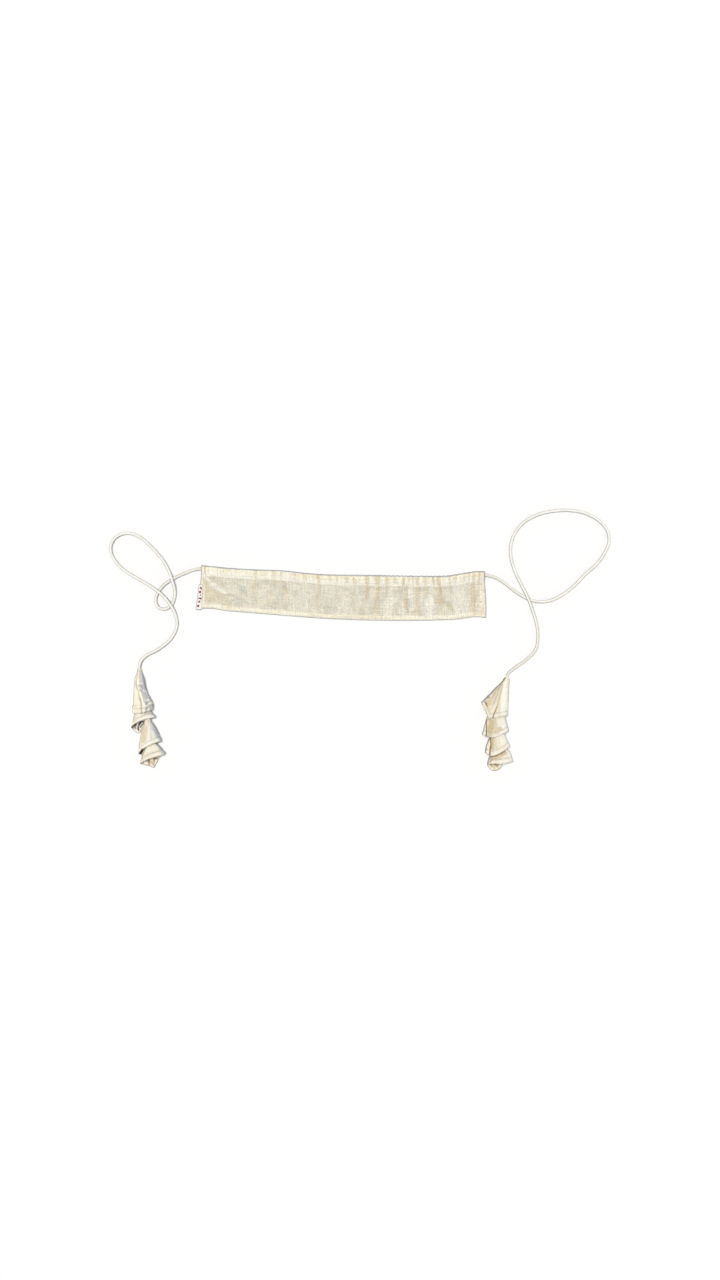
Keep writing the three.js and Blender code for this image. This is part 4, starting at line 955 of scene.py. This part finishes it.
rightTiers = [{
    "neck": (-0.6, 1.5, 3.95, -28), "slimNeck": 0.9, "seamTurn": 4.6, "front": (15, -0.35, 0.65, 1.35, 0),
    "back": (11, -0.38, 0.62, 1.38, 0),
    "rings": [
        (-8.2, 3.2, 8.4, 8, 0, 0, 8.6, 0.4), (-18, 2.4, 18.6, 20, 0.15, 0, 11.5, 0.8),
        (-28.4, 1.6, 29.8, 34, 0.35, 0, 14, 1), (-36.8, 0.6, 37.8, 48, 0.75, 0, 16, 1),
        (-37.2, -0.2, 42, 58.2, 1, 0, 17.5, 1)],
    "folds": [(-0.75, 0.26, -3.6)],
    "creases": [
        (2.6, 4.0, 1, -1, 3, -5, 11, -9.2, 20, -14.3, 34, -19.8, 51, -24, 63),
        (0.9, 1.6, 1, -32, 38, -30.5, 42, -28.5, 46), (0.7, 1.6, 1, -28, 32, -25, 34, -22, 34),
        (0.5, 3.0, -1, -2, 22, -4, 40, -5, 54)],
    "fold": [
        (0.9, -3.5, 8, 3, -10, 19, 8, -16, 28, 11), (0.75, -15, 29, 11, -20, 37, 13, -28, 41, 9),
        (0.4, -27, 49, 9, -25.6, 56, 5), (1.5, -3.4, 5.4, 2, -8.4, 11, 2.8, -13, 15.6, 1.8),
        (1.15, -8, 14, 1.4, -13, 25, 3, -17.8, 37, 3.6, -21.4, 46, 2.6),
        (1.6, -32, 38.6, 2, -30.4, 41, 2), (1.6, -29.8, 41.4, 2, -28, 45.4, 1.8),
        (1.45, -28, 32, 2.2, -25.5, 33, 2), (0.5, -34.5, 43, 3, -31.5, 49, 3.4, -27, 55, 3, -23, 62, 2.4),
        (1.0, -8, 23, 1.2, -11.2, 35, 1.4, -14.6, 46, 1.6),
        (1.35, -14.6, 46, 1.4, -18.8, 57, 2.2, -20.6, 63, 2.8),
        (0.4, -6.5, 16, 1.2, -10.6, 32, 2, -14, 45, 3, -17.4, 56, 4), (0.2, -9.6, 42, 4, -12, 57, 6),
        (0.5, -13, 59, 1.4, -2, 55.4, 1.4)],
    "shade": [
        (1.35, -2.8, 5, 1.6, -8.8, 11, 2.2, -14.2, 17.6, 2, -23, 27, 2, -34, 38, 2.2),
        (0.45, -5, 44, 1.6, -5.4, 56, 2)],
    "light": [
        (0.8, -0.6, 5, 1.2, -4.6, 12, 1.6, -9.6, 20, 2, -12.8, 29, 2.2, -15.8, 40, 2.4, -19.4, 50, 2.4,
         -22, 56, 1.6),
        (0.45, -13.5, 24, 2, -17, 33, 4, -21, 45, 5),
        (1.0, -2.4, 10, 2.4, -4, 28, 8, -5, 46, 9, -6, 57, 7)],
}, {
    "neck": (-11, 36, 5.9, -8), "seamTurn": 4.4, "front": (6, -0.2, 0.8, 1.2, 1),
    "back": (4, -0.2, 0.8, 1.2, 1),
    "rings": [
        (-18.4, -5.4, 44.5, 44.5, 0, 1.8, 10.4, 0.4), (-25.4, -4, 53, 54, 0.2, 1.7, 12, 1),
        (-30, -2.4, 60, 62.5, 0.3, 1.6, 12, 1), (-34.2, -0.2, 73, 72, 0.7, 0, 15, 1),
        (-36.8, 1.6, 84.5, 79.4, 1, 0, 17, 1)],
    "folds": [(0.12, 0.25, 0.8)],
    "creases": [(2.4, 2.6, 1, -28.8, 58, -29.6, 73, -29.6, 90), (0.9, 3.0, 1, -21, 60, -17, 70, -18, 82)],
    "fold": [
        (1.5, -29.2, 58, 1.8, -29.9, 72, 1.9, -29.8, 88, 2.1),
        (1.0, -27, 62, 3, -22, 68, 8, -22.4, 75, 8), (0.95, -23.6, 74, 9, -25, 86, 6),
        (0.6, -18, 66, 7, -17.6, 79, 9), (0.5, -22, 78, 5, -8, 77, 4), (0.55, -27, 86.4, 5, -13, 83, 5)],
    "shade": [(0.4, -2, 62, 2, -1, 74, 2)],
    "light": [
        (0.35, -31.4, 60, 1.4, -32.6, 72, 2.4, -33.4, 85, 3), (0.7, -7, 66, 8, -5, 73, 8),
        (0.4, -13, 65, 3, -11, 72, 4)],
}, {
    "neck": (-14, 69, 6, 0), "seamTurn": 4.4, "front": (6.5, -0.4, 0.6, 1.4, 1),
    "back": (3, -0.2, 0.8, 1.2, 1),
    "rings": [
        (-20.6, -7.6, 77.5, 77, 0, 1.8, 11, 0.4), (-25, -4.4, 86, 84, 0, 1.6, 12.6, 1),
        (-27.8, -1, 92, 91, 0.1, 1.2, 12.3, 1), (-31.4, 1.4, 102, 96.5, 0.6, 0, 15, 1),
        (-32.4, 3.2, 110.8, 101.4, 1, 0, 17, 1)],
    "folds": [(-0.12, 0.22, 0.9)],
    "creases": [
        (2.4, 2.6, 1, -23.4, 86, -24, 100, -25.4, 116), (0.7, 3.0, 1, -17, 90, -15, 100, -15, 108)],
    "fold": [
        (1.3, -30, 98, 2, -30.6, 107, 2.6), (1.45, -23.6, 88, 2, -23.8, 102, 2.2, -24.7, 114, 2.8),
        (1.0, -21.2, 87, 4, -21, 96, 4.4, -21.2, 105, 4), (0.35, -17.6, 88, 4.4, -17.4, 104, 5),
        (0.5, -22, 108, 4, -20, 111, 3)],
    "shade": [(0.35, -11, 88, 1.6, -11.4, 98, 1.6)],
    "light": [
        (0.35, -26, 88, 2, -26.8, 100, 2.6, -27.6, 112, 3), (0.75, -8, 88, 8, -6, 97, 8),
        (0.5, -14.6, 88, 1.6, -14.4, 100, 2)],
}, {
    "neck": (-14, 97, 6, 0), "seamTurn": 4.7, "ripple": 5.0, "front": (1.5, 0, 1, 1, 1),
    "back": (11.5, -0.38, 0.62, 0.6, 0.5),
    "rings": [
        (-20.2, -7, 105.5, 103, 0, 1.8, 11, 0.4), (-24.4, 0.4, 113, 106, 0.1, 1.6, 12.4, 1),
        (-27.6, 5, 119.5, 112, 0.3, 0.6, 13.3, 1), (-29.2, 7.8, 126.4, 123, 1, 0, 15, 1)],
    "folds": [(-0.57, 0.22, -1.8), (0.12, 0.25, 0.8)],
    "creases": [(1.4, 3.5, -1, -3, 108, -12, 113, -22, 118), (1.2, 2.5, 1, -20, 119, -24, 123, -26, 127)],
    "fold": [
        (1.4, -22.6, 117, 3, -12, 113.4, 2.6, -3, 109, 2), (0.8, -24, 119, 5, -12, 116, 6, -3, 111, 4),
        (0.6, -22, 121, 4, -10, 120, 4), (1.4, -24.8, 124.6, 1.8, -21.4, 121, 1.4),
        (0.8, -24, 127, 3, -16, 127.6, 4, -12, 128, 3),
        (1.3, -18, 127.4, 2, -14.4, 128.4, 2, -14, 131, 1.4), (0.7, -24, 129, 1.6, -21.4, 132, 1.4)],
    "light": [
        (0.8, 1.6, 111, 4, 5, 121, 5), (0.5, -12, 123.4, 2.6, 4, 122, 3),
        (0.9, -26.4, 129, 2, -23, 133, 2.4, -17, 135, 2.4), (1.0, -10.6, 129, 2.6, -10.6, 135, 2.6),
        (0.5, -20, 129.4, 1.2, -18.6, 132, 1.4)],
}]
leftTassel = {
    "name": "tassel_left", "place": (-290.4, -104.4), "tiers": leftTiers,
    "core": [(0, 0, 3.8), (3.4, 34, 5.9), (11.4, 70, 6), (16.4, 101, 6), (17.8, 111, 6)],
}
rightTassel = {
    "name": "tassel_right", "place": (230.8, -115.4), "tiers": rightTiers,
    "core": [(0, 0, 3.8), (-6.6, 20, 5), (-11, 36, 5.9), (-14, 69, 6), (-14, 97, 6), (-14, 107, 6)],
}


def hemFall(across, hem):
    fall, at, left, right, rounded = hem
    away = np.clip(np.where(across < at, (at - across) / left, (across - at) / right), 0, 1)
    return fall * (np.cos(away * math.pi / 2) ** rounded if rounded else 1 - away)


def awayFromLine(x, down, line):
    # signed distance from a line that runs down, more than 0 on its left, and how far past its ends
    best, sign, past = np.full(x.shape, 1e9), np.ones(x.shape), np.zeros(x.shape)
    for (x1, d1), (x2, d2) in zip(line, line[1:]):
        free, t, gap = besideRun(x, down, x1, d1, x2, d2)
        side = np.sign(-(x - x1) * (d2 - d1) + (down - d1) * (x2 - x1))
        nearer = gap < best
        best, sign = np.where(nearer, gap, best), np.where(nearer, side, sign)
        past = np.where(nearer, np.abs(free - t) * np.hypot(x2 - x1, d2 - d1), past)
    return best * np.where(sign == 0, 1, sign), past


def coneShape(tier, turn, level):
    # the outside of a cone, at turns round it and levels down it
    x, down, high, lean = tier["neck"]
    radius = cone["neck"]
    tilt = radius * math.tan(math.radians(lean))
    neck = (x - radius, x + radius, down + tilt, down - tilt, 0, high - radius, 2 * radius, 0)
    rings = np.array([neck, *tier["rings"]], float)
    columns = [throughRows(level, np.arange(len(rings)), column) for column in rings.T]
    left, right, downLeft, downRight, share, base, height, flat = columns
    across, up = np.cos(turn), np.abs(np.sin(turn))
    isFront = np.sin(turn) > 0
    wide = np.hypot(right - left, downRight - downLeft)
    half = wide / 2 - cone["inset"]
    sideX, sideDown = (right - left) / wide, (downRight - downLeft) / wide
    top, under = base + height - cone["inset"], base + cone["inset"]
    edge = under + (top - under) * (0.5 - 0.14 * flat)
    crown = up ** np.where(isFront, 1 - 0.2 * flat, 1 - 0.5 * flat)
    z = np.where(isFront, edge + (top - edge) * crown, edge + (under - edge) * crown)
    reach = ease(0, 0.8, level / len(tier["rings"]))
    for at, width, lift in tier["folds"]:
        z = z + np.where(isFront, reach * crown * lift * bell(across - at, width), 0)
    fall = share * np.where(isFront, hemFall(across, tier["front"]), hemFall(across, tier["back"]))
    flatX = (left + right) / 2 + sideX * half * across - 0.3 * sideDown * fall
    flatDown = (downLeft + downRight) / 2 + sideDown * half * across + fall
    return grid(flatX, -flatDown, z), isFront, crown


def makeCone(name, tier, place, seed):
    last = len(tier["rings"])
    length = tier["rings"][-1][2] - tier["neck"][1]
    level = np.linspace(0, last, int(length / cone["rowStep"]) + 1)[:, None]
    t = np.linspace(0, 1, cone["around"])[None, :]
    turn = tier["seamTurn"] + t * (2 * math.pi + cone["overlap"] * level / last)
    turn = np.mod(turn, 2 * math.pi)
    places, isFront, crown = coneShape(tier, turn, level)
    normals = wayOut(places)
    centre = places.mean(axis=1, keepdims=True)
    if np.mean(np.sum(normals * (places - centre), axis=2)) < 0:
        normals = -normals
    reach = ease(0.1, 0.55, level / last)
    fromHem = reachOf(places[::-1])[::-1]
    # the rolled cloth's layers, gathers at the neck, crumples, and the sewn hem's soft edge
    spots = places * [1.0, 0.45, 1.0]
    out = -cone["layer"] * t + 0 * level
    out = out + cone["gatherRise"] * np.cos(cone["gathers"] * turn + seed) * np.exp(-level / 0.9)
    ridges = np.maximum(0.35 - np.abs(unevenness(spots, 11, seed + 6)), 0) * 2.4
    crumple = unevenness(spots, 6.5, seed) + 0.5 * unevenness(spots, 3.2, seed + 3) + ridges
    out = out + reach * cone["crumple"] * crumple
    out = out - tier.get("slimNeck", 0) * np.exp(-level / 0.35)
    out = out + cone["hemRise"] * bell(fromHem - cone["hemPad"], cone["hemPadWidth"]) \
        - cone["hemRise"] * bell(fromHem - cone["hem"], cone["hemLine"])
    places = places + normals * out[..., None]
    # creases and marks were traced from above, where raised cloth is seen a little further out
    x, down = places[..., 0], -places[..., 1]
    raised = places[..., 2] * mm / (view["height"] - places[..., 2] * mm)
    x = x + (x + place[0] - view["aim"][0] / mm) * raised
    down = down - (place[1] - down - view["aim"][1] / mm) * raised
    for rise, width, side, *line in tier["creases"]:
        away, past = awayFromLine(x, down, np.reshape(line, (-1, 2)))
        away = away * side
        held = isFront * bell(past, cone["creaseEnd"]) * np.minimum(1, crown * 1.5)
        places[..., 2] += rise * held * ease(-0.65, 0.25, away) * np.exp(-np.maximum(away, 0) / width)
    lumps = 0.5 + 0.45 * np.sin(np.cos(turn) * 9 + 1) + 0.8 * unevenness(places, 4, seed + 5)
    ripple = tier.get("ripple", 0) * np.exp(-fromHem / cone["rippleReach"]) * np.maximum(lumps, 0) * crown
    places[..., 2] += np.where(isFront, 0, ripple)
    places[..., 2] = np.maximum(places[..., 2], cone["thickness"] * 0.2 + cone["layer"] * t)
    marks = brushed(x, down, tier, seed)
    marks["shade"] = marks["shade"] * np.where(isFront, 1, 1 - ease(0, 0.4, crown))
    marked = np.minimum(np.maximum(marks["shade"], marks["fold"]), 1)
    # the hem painted paler, for its doubled cloth and as a painted highlight, less under shade and tan
    # marks
    hemLight = 0.35 * (1 - ease(cone["hem"] - 1, cone["hem"], fromHem)) * (1 - 0.6 * marked)
    marks["light"] = np.maximum(marks["light"], hemLight)
    # the edges' painted shade: darker at the hem's edge, along both sides and in the hem's sewn line
    across = np.cos(turn)
    fromSide = (x.max(axis=1, keepdims=True) - x.min(axis=1, keepdims=True)) / 2 * (1 - np.abs(across))
    edged = (0.7 - 0.25 * across) * (1 - ease(0.4, 1.4, fromSide / (1 - 0.2 * across))) * reach ** 0.3
    rim = np.maximum(np.where(isFront, 0.4, 0.75) * (1 - ease(0.3, 1.5, fromHem)), edged)
    marks["rim"] = np.maximum(rim, 0.45 * bell(fromHem - cone["hem"], 0.7))
    # the flat cut is a sector of a ring
    length = fromHem[0].mean()
    neckLong, hemLong = [np.linalg.norm(np.diff(places[row], axis=0), axis=1).sum() for row in (0, -1)]
    angle = (hemLong - neckLong) / length
    radius = neckLong / angle + length * level / last
    cut = grid(radius * np.sin((t - 0.5) * angle), radius * np.cos((t - 0.5) * angle))
    places = places + [*place, 0]
    piece = newCloth(name + "_cloth", places, cut)
    for kind, values in marks.items():
        paint(piece, kind, values)
    piece.data.materials.append(tasselFinish)
    piece.data.materials.append(tier.get("lining", tanLining))
    applyModifier(piece, "SOLIDIFY", thickness=cone["thickness"] * mm, offset=-1.0, material_offset=1,
                  material_offset_rim=0)
    keepPiece(piece, "tassel", name)
    length * mm
    (hemLong + neckLong) / 2 * length * mm * mm
    # the hem's sewn line, between two rows of the grid
    rows = np.arange(len(places))
    sewn = []
    for column in range(0, cone["around"], cone["stitchEvery"]):
        row = np.interp(-cone["hem"], -fromHem[:, column], rows)
        low = int(row)
        here, below = places[low, column], places[min(low + 1, len(rows) - 1), column]
        sewn.append(here + (below - here) * (row - low) + normals[low, column] * thread["proud"])
    sewn = np.array(sewn)
    sewn[:, 2] = np.maximum(sewn[:, 2], thread["width"])
    return piece, sewn


def makeTassel(tassel):
    name = tassel["name"]
    made = [makeCone(f"{name}_tier_{number}", tier, tassel["place"], 7 * number + len(name))
            for number, tier in enumerate(tassel["tiers"], 1)]
    stitches = addStitches(name + "_stitches", [seam for _, seam in made], "tassel")
    return [*[piece for piece, _ in made], stitches]


leftPieces, rightPieces = makeTassel(leftTassel), makeTassel(rightTassel)
print("tassels made")

makeCord("drawstringTube", casingLine(), "drawstring")
for name, node, route, tassel, pieces in (
        ("cordLeft", "cord_left", leftRoute, leftTassel, leftPieces),
        ("cordRight", "cord_right", rightRoute, rightTassel, rightPieces)):
    tube, line, length = makeCord(name, freeEnd(route, tassel), node)
print("cords laid")

# Plain pale floor, open sky and a wide soft sun from the upper left
room = {
    "floor": rgb(252, 252, 252), "floorSize": 60, "floorAt": -0.0002, "sun": (-0.22, 0.17, 1.6),
    "sunColour": rgb(255, 253, 250), "sunPower": 2.48, "sunWidth": 20, "skyColour": rgb(246, 250, 255),
    "sky": 0.24, "horizon": 0.88, "haze": (0.12, 0.42),  # brightness overhead, low down, and where it fades
}


def addRoom():
    deselect()
    bpy.ops.mesh.primitive_plane_add(size=room["floorSize"], location=(0, 0, room["floorAt"]))
    floor = bpy.context.object
    floor.name = "floor"
    material, _ = newMaterial("paleFloor", 0.9)
    shaderOf(material).inputs["Base Color"].default_value = room["floor"]
    shaderOf(material).inputs["Specular IOR Level"].default_value = 0.0
    floor.data.materials.append(material)
    sun = bpy.data.objects.new("sun", bpy.data.lights.new("sun", "SUN"))
    sun.data.energy, sun.data.angle = room["sunPower"], math.radians(room["sunWidth"])
    sun.data.color = room["sunColour"][:3]
    sun.rotation_euler = (-Vector(room["sun"])).to_track_quat("-Z", "Y").to_euler()
    bpy.context.scene.collection.objects.link(sun)
    world = bpy.data.worlds.new("softSky")
    world.use_nodes = True
    backdrop = world.node_tree.nodes["Background"]
    up = Wire(world.node_tree, backdrop.outputs[0]).add("ShaderNodeTexCoord", {}, {}, 0).part(2)
    high, low = [(*(c * room[part] for c in room["skyColour"][:3]), 1) for part in ("sky", "horizon")]
    world.node_tree.links.new(up.ramp(*room["haze"]).mix(low, high).socket, backdrop.inputs["Color"])
    bpy.context.scene.world = world
    bpy.context.scene.view_settings.view_transform = "Standard"


addRoom()
addCamera()
